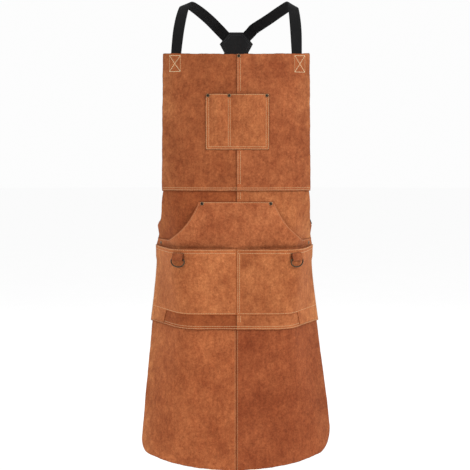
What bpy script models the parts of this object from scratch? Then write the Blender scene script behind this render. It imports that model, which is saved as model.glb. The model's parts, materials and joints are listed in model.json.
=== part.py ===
"""A split-leather welding apron: bib, waist and skirt rows, five pockets, and cross-back webbing straps.

Metres, +Z up, and the wearer faces -Y. The origin is about 4 mm above the straps' highest points on the
shoulders, between them on the front's centre line. The leather is laid out flat in (u, v): u runs sideways
from the centre line, and v runs down from the top edge of the bib. leather_point() bends that flat pattern
round the wearer's front, in flat strips 20 mm wide, so that every layer of leather runs parallel to the one
under it.
"""

import math

import bmesh
import bpy
from mathutils import Matrix, Vector

# The leather and its layers
LEATHER = 0.0014
CLEARANCE = 0.0008
LAYER = LEATHER + CLEARANCE
FACET = 0.020  # width of the flat strips that the body's curve is made of
BIB_BASE = 2 * LAYER  # how far each row's back face stands off the waist row's
WAIST_BASE = 0.0
SKIRT_BASE = -2 * LAYER
SEAM_LAP = 0.012  # the right panels lap over the left ones at the centre seam
DIP_START, DIP_END = 0.012, 0.004  # where the left panel goes down a layer to pass under
ROW_LAP = 0.014  # a row laps over the one below it

# The flat pattern: distances down the front
BIB_BOTTOM = 0.345
WAIST_BOTTOM = 0.699
HEM = 1.067
HALF_WIDTH = 0.305
HEM_RADIUS_LEFT = 0.035
HEM_RADIUS_RIGHT = 0.060
HEM_RISE_LEFT = 0.018  # the hem curves up towards its corners by this much
HEM_RISE_RIGHT = 0.030
HEM_CURVE = 1.3
BIB_TOP_Z = -0.152
TOP_CORNER_LIFT = 0.008  # the straps pull the bib's top corners up a little

# The chest pocket: a pen slot on the left and a phone pocket on the right
CHEST_LEFT, CHEST_DIVIDER, CHEST_RIGHT = -0.077, -0.018, 0.082
CHEST_TOP, CHEST_BOTTOM = 0.101, 0.241
CHEST_EDGE, CHEST_SEAM = 0.0115, 0.0055  # flat leather beside the outer rivets and beside the divider
CHEST_RISE = 0.008  # an extra column this far inside each pocket's edges
PEN_SLACK = 0.0100
PHONE_SLACK = 0.0120

# The kangaroo pouch: sewn along its top and bottom, open for a hand at each side
POUCH_TOP, POUCH_TIP, POUCH_BOTTOM = 0.372, 0.473, 0.518
POUCH_CORNER, POUCH_END = 0.096, 0.285
POUCH_MOUTH_CURVE = 5.0
POUCH_SLACK = 0.0145
POUCH_HEM, POUCH_SEAM = 0.010, 0.489  # it lies flat along its top edge, and below its bottom seam
POUCH_ROWS = (0, 0.07, 0.18, 0.31, 0.44, 0.57, 0.69, 0.80, 1.0)

# The two lower pockets, side by side, open along the top
LOWER_TOP, LOWER_BOTTOM, LOWER_EAR = 0.492, 0.660, 0.694
LOWER_EAR_LEFT, LOWER_EAR_RIGHT = -0.218, 0.174
LOWER_END = 0.300
LOWER_SLACK = 0.0130
SWELL_RISE = 0.5  # pockets stand off steeply beside their stitching
OUTER_RISE = 1.2  # but gently towards the apron's sides

# Webbing, straps and the cross patch between the shoulder blades
WEB_WIDTH = 0.030
WEB_THICK = 0.0015
STRAP_U = 0.158  # where each strap is sewn behind the bib's top corner
STRAP_SEWN = (0.046, 0.024, 0.002)  # how far down the bib its sewn end lies
PATCH_Y = 0.2405
PATCH_TOP_Z, PATCH_WIDE_Z, PATCH_BOTTOM_Z = -0.063, -0.095, -0.145
PATCH_HALF_TOP, PATCH_HALF_WIDE, PATCH_HALF_BOTTOM = 0.018, 0.046, 0.019
PATCH_STACK = 0.0027  # from the middle of the patch to the inside of each layer

# Hardware
RIVET_CAP, RIVET_BACK, RIVET_SHANK, RIVET_HOLE = 0.0045, 0.0040, 0.0015, 0.0021
D_WIRE = 0.00175
D_HALF_WIDTH = 0.0208
D_DROP = 0.0190
D_BAR_END, D_CORNER = 0.0192, 0.0040
D_RING_V = 0.518
D_RING_U = (-0.138, 0.142)
D_TAB_UNDER = 0.006  # the tab stands clear of the pocket's wall down to here, below the ring's bar
TAB_WIDTH = 0.034
SIDE_TAB_WIDTH = 0.028
SIDE_TAB_THICK = 0.0016
SIDE_TAB_GAP = 0.0014
LOOP_BAR = 0.0018  # radius of the bars that a strap loops round
SQUARE_BAR = 0.0013  # half thickness of the buckle's square bars

# Angles that the front turns back through on each side, and where the turn starts and ends
WRAP = (
    # v, left angle, right angle, turn starts at u, turn ends at u
    (0.000, 30, 30, 0.00, 0.20),
    (0.170, 38, 40, 0.03, 0.21),
    (0.345, 46, 48, 0.06, 0.20),
    (0.480, 64, 68, 0.095, 0.18),
    (0.700, 57, 61, 0.085, 0.18),
    (1.067, 51, 49, 0.00, 0.31),
)
CENTRE_DEPTH = ((0.0, 0.012), (0.20, -0.002), (0.45, 0.0), (0.66, -0.008), (1.067, -0.012))
OUTLINE = (
    # v, half width of the leather: the bib, the armhole cut, then the full width
    (0.000, 0.196), (0.118, 0.198), (0.250, 0.202), (0.345, 0.208),
    (0.400, 0.229), (0.440, 0.255), (0.470, 0.285), (0.492, 0.305),
)


def clear_scene():
    for obj in list(bpy.data.objects):
        bpy.data.objects.remove(obj, do_unlink=True)


def material(name, colour, roughness, metallic=0.0):
    mat = bpy.data.materials.new(name)
    mat.use_nodes = True
    shader = mat.node_tree.nodes["Principled BSDF"]
    shader.inputs["Base Color"].default_value = (*colour, 1.0)
    shader.inputs["Roughness"].default_value = roughness
    shader.inputs["Metallic"].default_value = metallic
    return mat


# ---------------------------------------------------------------- the body's curve


def along(stations, v, column):
    """A smooth curve through one column of a table of stations, read at v."""
    v = min(max(v, stations[0][0]), stations[-1][0])
    k = max(i for i in range(len(stations) - 1) if stations[i][0] <= v)

    def slope(i):
        low, high = max(i - 1, 0), min(i + 1, len(stations) - 1)
        return (stations[high][column] - stations[low][column]) / (stations[high][0] - stations[low][0])

    span = stations[k + 1][0] - stations[k][0]
    t = (v - stations[k][0]) / span
    start, end = stations[k][column], stations[k + 1][column]
    return (
        (2 * t**3 - 3 * t**2 + 1) * start
        + (t**3 - 2 * t**2 + t) * span * slope(k)
        + (3 * t**2 - 2 * t**3) * end
        + (t**3 - t**2) * span * slope(k + 1)
    )


def straight(stations, v):
    """Straight lines through (v, value) stations, read at v."""
    for (v0, a), (v1, b) in zip(stations, stations[1:]):
        if v <= v1:
            return a + (b - a) * max(v - v0, 0.0) / (v1 - v0)
    return stations[-1][1]


def body_point(u, v):
    """The place of a point of the flat pattern once the leather is bent round the wearer."""
    angle = math.radians(along(WRAP, v, 1 if u < 0 else 2))
    start, end = along(WRAP, v, 3), along(WRAP, v, 4)
    samples = 24
    x = y = 0.0
    for i in range(samples):
        turned = (abs(u) * (i + 0.5) / samples - start) / (end - start)
        turned = min(max(turned, 0.0), 1.0)
        bend = angle * turned * turned * (3 - 2 * turned)
        x += math.cos(bend)
        y += math.sin(bend)
    lift = TOP_CORNER_LIFT * max(1 - v / 0.12, 0.0) ** 2 * (u / 0.19) ** 2
    return Vector((u * x / samples, abs(u) * y / samples + along(CENTRE_DEPTH, v, 1), BIB_TOP_Z - v + lift))


def body_normal(u, v):
    """The outward direction, away from the wearer."""
    step = 0.002
    across = body_point(u + step, v) - body_point(u - step, v)
    down = body_point(u, v + step) - body_point(u, v - step)
    return down.cross(across).normalized()


def leather_point(u, v, height):
    """A point of the bent pattern, height metres outside the waist row's back face."""
    strip = math.floor(u / FACET + 1e-6)
    edges = []
    for edge in (strip * FACET, (strip + 1) * FACET):
        edges.append(body_point(edge, v) + height * body_normal(edge, v))
    return edges[0].lerp(edges[1], u / FACET - strip)


def columns(start, end, *extra):
    """The u of each column of points between two edges: every strip's edge, and the extra ones."""
    lines = [k * FACET for k in range(-20, 21) if start + 1e-4 < k * FACET < end - 1e-4]
    return sorted({round(u, 5) for u in (start, end, *lines, *extra) if start <= u <= end})


# ---------------------------------------------------------------- solids


def add_object(name, mesh_builder, mat):
    """An object named name from a closed bmesh, with its faces pointing out."""
    mesh = bpy.data.meshes.new(name)
    bmesh.ops.recalc_face_normals(mesh_builder, faces=mesh_builder.faces)
    mesh_builder.to_mesh(mesh)
    mesh_builder.free()
    mesh.materials.append(mat)
    obj = bpy.data.objects.new(name, mesh)
    bpy.context.scene.collection.objects.link(obj)
    return obj


def sheet_solid(name, front, back, mat):
    """A closed solid from a grid of points on its front and the matching grid on its back."""
    bm = bmesh.new()
    near = [[bm.verts.new(p) for p in line] for line in front]
    far = [[bm.verts.new(p) for p in line] for line in back]
    wide, tall = len(near), len(near[0])
    for i in range(wide - 1):
        for j in range(tall - 1):
            bm.faces.new((near[i][j], near[i + 1][j], near[i + 1][j + 1], near[i][j + 1]))
            bm.faces.new((far[i][j], far[i][j + 1], far[i + 1][j + 1], far[i + 1][j]))
    rim = [(i, 0) for i in range(wide)] + [(wide - 1, j) for j in range(1, tall)]
    rim += [(i, tall - 1) for i in range(wide - 2, -1, -1)] + [(0, j) for j in range(tall - 2, 0, -1)]
    for (i, j), (k, m) in zip(rim, rim[1:] + rim[:1]):
        bm.faces.new((near[i][j], far[i][j], far[k][m], near[k][m]))
    return add_object(name, bm, mat)


def even(rows):
    """The shares of a column at which its rows of points lie, evenly spaced."""
    return [j / rows for j in range(rows + 1)]


def leather_piece(name, us, top, bottom, shares, base, mat):
    """A piece of leather with its columns at us, from top(u) to bottom(u), base(u, v) off the body."""
    front, back = [], []
    for u in us:
        line = [top(u) + (bottom(u) - top(u)) * share for share in shares]
        back.append([leather_point(u, v, base(u, v)) for v in line])
        front.append([leather_point(u, v, base(u, v) + LEATHER) for v in line])
    return sheet_solid(name, front, back, mat)


def smooth_route(route, steps):
    """Points and normals on a smooth curve through a route's (point, normal) pairs."""
    path = []
    for k in range(len(route) - 1):
        around = [route[min(max(i, 0), len(route) - 1)] for i in range(k - 1, k + 3)]
        for i in range(steps):
            t = i / steps
            blend = (
                (-t + 2 * t**2 - t**3) / 2,
                (2 - 5 * t**2 + 3 * t**3) / 2,
                (t + 4 * t**2 - 3 * t**3) / 2,
                (-(t**2) + t**3) / 2,
            )
            point = sum((w * Vector(near[0]) for w, near in zip(blend, around)), Vector())
            normal = sum((w * Vector(near[1]) for w, near in zip(blend, around)), Vector())
            path.append((point, normal))
    path.append(tuple(Vector(part) for part in route[-1]))
    return path


def band(name, path, width, thickness, mat):
    """A flat strap along (point, normal) pairs: its width lies across both the path and the normal."""
    front, back = [], []
    for k, (point, normal) in enumerate(path):
        ahead = path[min(k + 1, len(path) - 1)][0] - path[max(k - 1, 0)][0]
        side = ahead.cross(normal).normalized()
        out = side.cross(ahead).normalized()
        front.append([point + s * width / 2 * side + thickness / 2 * out for s in (-1, 1)])
        back.append([point + s * width / 2 * side - thickness / 2 * out for s in (-1, 1)])
    return sheet_solid(name, front, back, mat)


def turned(name, profile, matrix, segments, mat):
    """A solid of revolution: profile is (radius, height) from one end of the axis to the other."""
    bm = bmesh.new()
    rings = []
    for radius, height in profile:
        if radius == 0:
            rings.append([bm.verts.new((0, 0, height))])
            continue
        turn = [2 * math.pi * i / segments for i in range(segments)]
        rings.append([bm.verts.new((radius * math.cos(a), radius * math.sin(a), height)) for a in turn])
    for low, high in zip(rings, rings[1:]):
        for i in range(segments):
            k = i + 1
            corners = [low[i % len(low)], low[k % len(low)], high[k % len(high)], high[i % len(high)]]
            bm.faces.new(list(dict.fromkeys(corners)))
    obj = add_object(name, bm, mat)
    obj.matrix_world = matrix
    return obj


def wire_ring(name, points, radius, matrix, mat, sides=8):
    """A closed ring of round wire through points in the local XY plane."""
    bm = bmesh.new()
    rings = []
    count = len(points)
    for k, point in enumerate(points):
        ahead = (Vector(points[(k + 1) % count]) - Vector(points[k - 1])).normalized()
        side = Vector((-ahead.y, ahead.x, 0.0))
        turn = [2 * math.pi * (i + 0.5) / sides for i in range(sides)]
        centre = Vector(point)
        offsets = [math.cos(a) * side + math.sin(a) * Vector((0, 0, 1)) for a in turn]
        rings.append([bm.verts.new(centre + radius * offset) for offset in offsets])
    for k in range(count):
        low, high = rings[k], rings[(k + 1) % count]
        for i in range(sides):
            bm.faces.new((low[i], low[(i + 1) % sides], high[(i + 1) % sides], high[i]))
    obj = add_object(name, bm, mat)
    obj.matrix_world = matrix
    return obj


def box(name, low, high, mat):
    """A box between two corners, in the object's own frame."""
    bm = bmesh.new()
    bmesh.ops.create_cube(bm, size=1.0)
    for vert in bm.verts:
        vert.co = Vector(high[i] if vert.co[i] > 0 else low[i] for i in range(3))
    return add_object(name, bm, mat)


def cutter(name, low, high, matrix, mat):
    """A box that only cuts other solids."""
    obj = box(name, low, high, mat)
    obj.matrix_world = matrix
    hide_cutter(obj)
    return obj


def hide_cutter(obj):
    obj.hide_render = True
    obj.display_type = "WIRE"


def combine(obj, other, operation):
    """Cut obj by other, or join the two."""
    boolean = obj.modifiers.new(f"{operation.lower()}_{other.name}", "BOOLEAN")
    boolean.operation = operation
    boolean.solver = "EXACT"
    boolean.object = other


def frame_at(origin, x_axis, y_axis, z_axis):
    """A matrix that places a local frame's axes at origin."""
    matrix = Matrix((x_axis, y_axis, z_axis)).transposed().to_4x4()
    matrix.translation = origin
    return matrix


# ---------------------------------------------------------------- the leather panels


def hem(u):
    """The bottom edge, cut in a shallow curve with a rounded corner at each side."""
    radius, rise = (HEM_RADIUS_LEFT, HEM_RISE_LEFT) if u < 0 else (HEM_RADIUS_RIGHT, HEM_RISE_RIGHT)
    curve = HEM - rise * (abs(u) / HALF_WIDTH) ** HEM_CURVE
    past = max(abs(u) - (HALF_WIDTH - radius), 0.0)
    return curve - radius + math.sqrt(max(radius**2 - past**2, 0.0))


def armhole(u):
    """The waist row's top edge: level under the bib, then down the armhole cut."""
    cut = [(width, v) for v, width in OUTLINE[3:]]
    if abs(u) <= cut[0][0]:
        return BIB_BOTTOM - ROW_LAP
    return straight(cut, abs(u))


def seam_base(base):
    """The height of a left panel, which dips under the right one at the centre seam."""
    return lambda u, v: base - LAYER * min(max((u + DIP_START) / (DIP_START - DIP_END), 0.0), 1.0)


def panel_pair(row, edge, top, bottom, shares, base, mats, *extra):
    """The two panels of one row, which lap at the centre seam."""
    left = columns(-edge, SEAM_LAP, -DIP_START, -DIP_END, *(-u for u in extra))
    right = columns(0.0, edge, *extra)
    return (
        leather_piece(f"{row}_panel_left", left, top, bottom, shares, seam_base(base), mats[0]),
        leather_piece(f"{row}_panel_right", right, top, bottom, shares, lambda u, v: base, mats[1]),
    )


def bib_panels(mats):
    """The bib's two panels: its side edges lean out downwards, and its inner columns stay upright."""
    panels = []
    rows = 7
    for side, us, base in (
        ("left", columns(-OUTLINE[3][1], SEAM_LAP, -DIP_START, -DIP_END), seam_base(BIB_BASE)),
        ("right", columns(0.0, OUTLINE[3][1]), lambda u, v: BIB_BASE),
    ):
        front, back = [], []
        for u in us:
            edge = abs(u) == OUTLINE[3][1]
            line = []
            for j in range(rows + 1):
                v = BIB_BOTTOM * j / rows
                width = straight(OUTLINE, v)
                inside = math.copysign(min(abs(u), width - 0.002), u)
                line.append((math.copysign(width, u) if edge else inside, v))
            back.append([leather_point(x, v, base(x, v)) for x, v in line])
            front.append([leather_point(x, v, base(x, v) + LEATHER) for x, v in line])
        panels.append(sheet_solid(f"bib_panel_{side}", front, back, mats[side == "right"]))
    return panels


# ---------------------------------------------------------------- the pockets


def swell(u, pockets, v, top, bottom, power=SWELL_RISE):
    """How far a pocket stands off inside its stitching: full at the mouth, and nothing at the bottom."""
    down = min(max((v - top) / (bottom - top), 0.0), 1.0)
    for start, end, slack in pockets:
        if start < u < end:
            rise = math.sin(math.pi * (u - start) / (end - start)) ** power
            return slack * rise * (1 - down**3)
    return 0.0


def chest_pocket(mat):
    pen = (CHEST_LEFT + CHEST_EDGE, CHEST_DIVIDER - CHEST_SEAM, PEN_SLACK)
    phone = (CHEST_DIVIDER + CHEST_SEAM, CHEST_RIGHT - CHEST_EDGE, PHONE_SLACK)

    def base(u, v):
        return BIB_BASE + LAYER + swell(u, (pen, phone), v, CHEST_TOP, CHEST_BOTTOM)

    rise = []
    for start, end, _ in (pen, phone):
        rise += [start, start + CHEST_RISE, end - CHEST_RISE, end]
    us = columns(CHEST_LEFT, CHEST_RIGHT, CHEST_DIVIDER, *rise)
    return leather_piece(
        "chest_pocket", us, lambda u: CHEST_TOP, lambda u: CHEST_BOTTOM, even(6), base, mat
    )


def pouch_top(u):
    """The pouch's top edge, and the hand opening's curve down to its side tips."""
    if abs(u) <= POUCH_CORNER:
        return POUCH_TOP
    left = 1 - (abs(u) - POUCH_CORNER) / (POUCH_END - POUCH_CORNER)
    return POUCH_TIP - (POUCH_TIP - POUCH_TOP) * max(left, 0.0) ** POUCH_MOUTH_CURVE


def kangaroo_pouch(mat):
    def base(u, v):
        top = POUCH_TOP + POUCH_HEM
        share = min(max((v - top) / (POUCH_SEAM - top), 0.0), 1.0)
        end = min(1.0, max(0.0, (0.235 - abs(u)) / 0.06))
        return WAIST_BASE + LAYER + POUCH_SLACK * math.sin(math.pi * share) ** 0.8 * end

    extra = (POUCH_CORNER, 0.105, 0.112, 0.130, 0.150)
    us = columns(-POUCH_END, POUCH_END, *extra, *(-u for u in extra))
    return leather_piece("kangaroo_pouch", us, pouch_top, lambda u: POUCH_BOTTOM, POUCH_ROWS, base, mat)


def lower_bottom(u):
    """The lower pockets' bottom edge, with an ear at each side that reaches the row seam."""
    past = (LOWER_EAR_LEFT - u) if u < 0 else (u - LOWER_EAR_RIGHT)
    return LOWER_BOTTOM + (LOWER_EAR - LOWER_BOTTOM) * min(max(past / 0.012, 0.0), 1.0)


LOWER_POCKETS = ((-LOWER_END, -CLEARANCE, LOWER_SLACK), (CLEARANCE, LOWER_END, LOWER_SLACK))


def lower_base(u, v):
    """The lower pockets' back face: over the pouch's bottom edge, then down onto the waist row."""
    over_pouch = 2 - min(max((v - POUCH_BOTTOM - 0.006) / 0.012, 0.0), 1.0)
    power = OUTER_RISE if abs(u) > LOWER_END / 2 else SWELL_RISE
    stand_off = swell(u, LOWER_POCKETS, v, LOWER_TOP, LOWER_BOTTOM, power)
    return WAIST_BASE + over_pouch * LAYER + stand_off


def lower_pockets(mat):
    for side, (start, end, _) in zip(("left", "right"), LOWER_POCKETS):
        ear = LOWER_EAR_LEFT if side == "left" else LOWER_EAR_RIGHT
        us = columns(start, end, ear, ear + math.copysign(0.012, ear), math.copysign(0.008, ear))
        leather_piece(f"lower_pocket_{side}", us, lambda u: LOWER_TOP, lower_bottom, even(8), lower_base, mat)


# ---------------------------------------------------------------- rivets and D-rings


def rivet(name, u, v, low, high, through, mat):
    """A rivet through the layers between the heights low and high, with a hole cut for its shank."""
    normal = body_normal(u, v)
    across = Vector((0, 0, 1)).cross(normal).normalized()
    place = frame_at(leather_point(u, v, 0.0), across, normal.cross(across), normal)
    lift = 0.0004
    profile = [
        (0, low - lift - 0.0008), (RIVET_BACK, low - lift - 0.0006), (RIVET_BACK, low - lift),
        (RIVET_SHANK, low - lift), (RIVET_SHANK, high + lift), (RIVET_CAP, high + lift),
        (RIVET_CAP, high + lift + 0.0005), (RIVET_CAP * 0.7, high + lift + 0.0012), (0, high + lift + 0.0015),
    ]
    body = turned(name, profile, place, 10, mat)
    reach = 0.004
    hole = [(0, low - reach), (RIVET_HOLE, low - reach), (RIVET_HOLE, high + reach), (0, high + reach)]
    tool = turned(f"hole_for_{name}", hole, place, 8, mat)
    hide_cutter(tool)
    for leather in through:
        combine(leather, tool, "DIFFERENCE")
    return body


def d_ring_and_tab(side, u, ring_mat, tab_mat):
    """A D-ring whose straight bar hangs in a folded leather tab on a lower pocket."""
    across = body_normal(u, D_RING_V).cross(Vector((0, 0, 1)))
    across = -across if across.x < 0 else across
    across.normalize()
    out = Vector((0, 0, 1)).cross(across)
    out = -out if out.y > 0 else out
    up = Vector((0, 0, 1))
    under = D_RING_V + D_TAB_UNDER
    wall = leather_point(u, under, lower_base(u, under) + LEATHER)
    foot = Vector((wall.x, wall.y, BIB_TOP_Z - D_RING_V))

    loop = D_WIRE + CLEARANCE + LEATHER / 2
    leg = CLEARANCE + LEATHER / 2
    bar_out = leg + loop
    turn = [math.pi * k / 6 for k in range(7)]
    fold = [(bar_out - loop * math.cos(a), -loop * math.sin(a)) for a in turn]
    spots = [(leg, 0.016), (leg, 0.006)] + fold + [(leg + LAYER + 0.0010, 0.0065), (leg + LAYER, 0.016)]
    path = []
    for k, (n, z) in enumerate(spots):
        before, after = spots[max(k - 1, 0)], spots[min(k + 1, len(spots) - 1)]
        run_n, run_z = after[0] - before[0], after[1] - before[1]
        path.append((foot + n * out + z * up, run_z * out - run_n * up))
    tab = band(f"d_ring_tab_{side}", path, TAB_WIDTH, LEATHER, tab_mat)

    centre = foot + bar_out * out
    points = [(D_BAR_END * k / 2, 0.0, 0.0) for k in range(-2, 3)]
    for k in range(15):
        a = math.pi * k / 14
        points.append((D_HALF_WIDTH * math.cos(a), -D_CORNER - (D_DROP - D_CORNER) * math.sin(a) ** 0.8, 0.0))
    pivot = bpy.data.objects.new(f"d_ring_{side}_axis", None)
    bpy.context.scene.collection.objects.link(pivot)
    pivot.matrix_world = frame_at(centre, across, up, across.cross(up))
    ring = wire_ring(f"d_ring_{side}", points, D_WIRE, Matrix.Identity(4), ring_mat)
    ring.parent = pivot
    return tab, ring


# ---------------------------------------------------------------- straps and the cross patch


def mirrored(route):
    return [((-p[0], p[1], p[2]), (-n[0], n[1], n[2])) for p, n in route]


# Where each strap's centre line passes over its shoulder, with the direction its outer face looks in.
# The inner edge lies higher, as on a sloping shoulder. Both are given as if on the left.
SHOULDER_LEFT = (
    ((-0.1470, 0.0450, -0.085), (-0.25, -0.90, 0.35)),
    ((-0.1375, 0.0740, -0.032), (-0.25, -0.62, 0.74)),
    ((-0.1290, 0.1050, -0.0105), (-0.33, 0.02, 0.94)),
    ((-0.1030, 0.1460, -0.0190), (-0.28, 0.50, 0.82)),
    ((-0.0735, 0.1860, -0.0375), (-0.15, 0.78, 0.60)),
)
SHOULDER_RIGHT = (
    ((-0.1517, 0.0450, -0.085), (-0.18, -0.92, 0.35)),
    ((-0.1482, 0.0740, -0.032), (-0.28, -0.62, 0.72)),
    ((-0.1450, 0.1050, -0.0120), (-0.48, 0.02, 0.87)),
    ((-0.1225, 0.1420, -0.0190), (-0.38, 0.50, 0.78)),
    ((-0.0860, 0.1860, -0.0375), (-0.20, 0.78, 0.60)),
)


def strap_route(depth, shoulder):
    """From behind the bib's corner over the shoulder, through the patch, to the far hip."""
    inside = PATCH_Y + depth
    behind = BIB_BASE - 2 * CLEARANCE - WEB_THICK / 2
    sewn = []
    for v in STRAP_SEWN:
        sewn.append((tuple(leather_point(-STRAP_U, v, behind)), tuple(body_normal(-STRAP_U, v))))
    return sewn + list(shoulder) + [
        ((-0.0500, inside - 0.0110, -0.0545), (-0.05, 0.95, 0.25)),
        ((-0.0425, inside - 0.0030, -0.0610), (0, 1, 0.05)),
        ((-0.0360, inside, -0.0675), (0, 1, 0)),
        ((-0.0280, inside, -0.0755), (0, 1, 0)),
        ((0.0000, inside, -0.1040), (0, 1, 0)),
        ((0.0290, inside, -0.1375), (0, 1, 0)),
        ((0.0360, inside, -0.1460), (0, 1, 0)),
        ((0.0405, inside + 0.0010, -0.1530), (0, 1, 0)),
        ((0.0480, inside + 0.0040, -0.1680), (0, 1, 0)),
        (STRAIGHT_LEAD, (0, 1, 0)),
        (STRAIGHT_TOP, (0, 1, 0)),
        (STRAIGHT_MIDDLE, (0, 1, 0)),
        (STRAIGHT_BOTTOM, (0, 1, 0)),
    ]


STRAIGHT_TOP = (0.0800, 0.2620, -0.265)
STRAIGHT_BOTTOM = (0.1550, 0.2620, -0.450)
STRAIGHT_MIDDLE = tuple((a + b) / 2 for a, b in zip(STRAIGHT_TOP, STRAIGHT_BOTTOM))
STRAIGHT_LEAD = tuple(a - (b - a) / 8 for a, b in zip(STRAIGHT_TOP, STRAIGHT_BOTTOM))
TAB_PATTERN = ((0.252, 0.511), (0.262, 0.484), (0.272, 0.457))  # the side tab's line behind the waist row
WAIST_TURN = (((0.1725, 0.2560, -0.4830), (0.40, 0.92)), ((0.1890, 0.2300, -0.5040), (0.72, 0.69)))
STRAND_GAP = 0.0058  # between the strap's two strands where they turn round the waist
HIP_BEND = math.radians(36)  # the tab bends in towards the back
HIP_RISE = 0.026  # from the tab's last point on the leather to the start of the hardware's straight line


def hip_frame(side):
    """The frame of the hip hardware: X across the strap, Y up the strap, Z away from the wearer."""
    flip = -1 if side == "left" else 1
    behind = WAIST_BASE - SIDE_TAB_GAP - SIDE_TAB_THICK / 2
    (u0, v0), (u1, v1) = TAB_PATTERN[-2:]
    start = leather_point(flip * u1, v1, behind)
    run = (start - leather_point(flip * u0, v0, behind)).normalized()
    normal = body_normal(flip * u1, v1)
    across = run.cross(normal).normalized()
    axis = (math.cos(HIP_BEND) * run - math.sin(HIP_BEND) * normal).normalized()
    return frame_at(start + HIP_RISE * (run + axis) / 2, across, axis, across.cross(axis))


def cross_straps(mat):
    """The two webbing straps, which cross inside the patch, one over the other."""
    apart = WEB_THICK / 2 + 0.0002
    over_route = strap_route(apart, SHOULDER_LEFT)
    over = band("cross_strap_left_shoulder", smooth_route(over_route, 4), WEB_WIDTH, WEB_THICK, mat)
    under_route = mirrored(strap_route(-apart, SHOULDER_RIGHT))
    under = band("cross_strap_right_shoulder", smooth_route(under_route, 4), WEB_WIDTH, WEB_THICK, mat)
    return over, under


def cross_patch(mat):
    """Two six-sided layers with the straps sandwiched between them."""
    right = [
        (PATCH_HALF_TOP, PATCH_TOP_Z), (PATCH_HALF_WIDE, PATCH_WIDE_Z), (PATCH_HALF_BOTTOM, PATCH_BOTTOM_Z),
    ]
    corners = right + [(-x, z) for x, z in right[::-1]]
    layers = []
    for name, start, end in (
        ("cross_patch_inner", -PATCH_STACK - LEATHER, -PATCH_STACK),
        ("cross_patch_outer", PATCH_STACK, PATCH_STACK + LEATHER),
    ):
        bm = bmesh.new()
        rings = [[bm.verts.new((x, PATCH_Y + y, z)) for x, z in corners] for y in (start, end)]
        bm.faces.new(rings[0])
        bm.faces.new(rings[1][::-1])
        for i in range(6):
            k = (i + 1) % 6
            bm.faces.new((rings[0][i], rings[0][k], rings[1][k], rings[1][i]))
        layers.append(add_object(name, bm, mat))
    return layers


# ---------------------------------------------------------------- hip tabs, buckle and adjusters

FEMALE_BAR = 0.0060  # distances up the hip line, from its lowest point
FEMALE_LOW, FEMALE_HIGH = 0.0110, 0.0390
MALE_BAR = 0.0520
LOOP_BAR_HIGH = 0.0300
BUCKLE_HALF = 0.0200
PRONG_ROOT = 0.0430


def bar_fold(centre, radius, start, end, count):
    """Points round a bar at centre in the (up, out) plane, from one angle to the other."""
    angles = [math.radians(start + (end - start) * k / count) for k in range(count + 1)]
    return [(centre + radius * math.cos(a), radius * math.sin(a)) for a in angles]


def placed(frame, spots):
    """(point, normal) pairs from (up, out) spots in a hip frame, with the normal outside each bend."""
    path = []
    for k, (up, out) in enumerate(spots):
        before, after = spots[max(k - 1, 0)], spots[min(k + 1, len(spots) - 1)]
        run = Vector((0, after[0] - before[0], after[1] - before[1]))
        normal = Vector((1, 0, 0)).cross(run)
        if spots[0][0] > spots[len(spots) // 2][0]:
            normal = -normal
        path.append((frame @ Vector((0, up, out)), frame.to_3x3() @ normal))
    return path


def side_tab(side, frame, mat):
    """A leather strip riveted behind the waist row, folded round the hardware's lower bar."""
    flip = -1 if side == "left" else 1
    behind = WAIST_BASE - SIDE_TAB_GAP - SIDE_TAB_THICK / 2
    path = []
    for u, v in TAB_PATTERN:
        path.append((leather_point(flip * u, v, behind), body_normal(flip * u, v)))
    radius = LOOP_BAR + CLEARANCE + SIDE_TAB_THICK / 2
    fold = bar_fold(FEMALE_BAR, radius, 90, -90, 6)
    path += placed(frame, [(-0.004, radius)] + fold + [(-0.008, -radius)])
    return band(f"side_tab_{side}", path, SIDE_TAB_WIDTH, SIDE_TAB_THICK, mat)


def strap_return(side, bar, frame, mat):
    """The strap's lower end: down to the hip bar, round it, and back up inside to the adjuster."""
    flip = -1 if side == "left" else 1
    radius = LOOP_BAR + CLEARANCE + WEB_THICK / 2
    down = Vector((flip * STRAIGHT_BOTTOM[0], *STRAIGHT_BOTTOM[1:]))
    middle = Vector((flip * STRAIGHT_MIDDLE[0], *STRAIGHT_MIDDLE[1:]))
    run = (down - middle).normalized()
    back = Vector((0, 1, 0))
    waist_turn = []
    for (x, y, z), (normal_x, normal_y) in WAIST_TURN:
        waist_turn.append((Vector((flip * x, y, z)), Vector((flip * normal_x, normal_y, 0))))
    outer = [(down + 0.0006 * run, back), (down + 0.018 * run, back), *waist_turn]
    fold = bar_fold(bar, radius, 90, 270, 6)
    round_bar = placed(frame, [(bar + 0.016, radius)] + fold + [(bar + 0.016, -radius)])
    inner = [(point - STRAND_GAP * normal, normal) for point, normal in waist_turn[::-1]]
    inner += [
        (down + 0.010 * run - 0.0046 * back, back),
        (down - 0.020 * run - 0.0040 * back, back),
        (middle + 0.0125 * run - 0.0036 * back, back),
    ]
    sweep = smooth_route(outer + round_bar[:1], 3)[:-1] + round_bar[:-1]
    climb = smooth_route([round_bar[-1]] + [(p, -n) for p, n in inner], 3)
    path = sweep + climb
    return band(f"strap_return_{side}", path, WEB_WIDTH, WEB_THICK, mat)


def hip_loop(frame, mat):
    """The rectangular loop between the left side tab and the strap."""
    half, low, high = 0.0175, FEMALE_BAR, LOOP_BAR_HIGH
    corner = 0.003
    points = []
    for x, y, start in ((half, low, -90), (half, high, 0), (-half, high, 90), (-half, low, 180)):
        cx, cy = x - math.copysign(corner, x), y + (corner if y == low else -corner)
        for k in range(4):
            a = math.radians(start + 30 * k)
            points.append((cx + corner * math.cos(a), cy + corner * math.sin(a), 0.0))
        if x > 0 and y == high:
            points += [(0.007, high, 0.0), (-0.007, high, 0.0)]
    points += [(-0.007, low, 0.0), (0.007, low, 0.0)]
    return wire_ring("hip_loop", points, LOOP_BAR, frame, mat)


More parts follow.
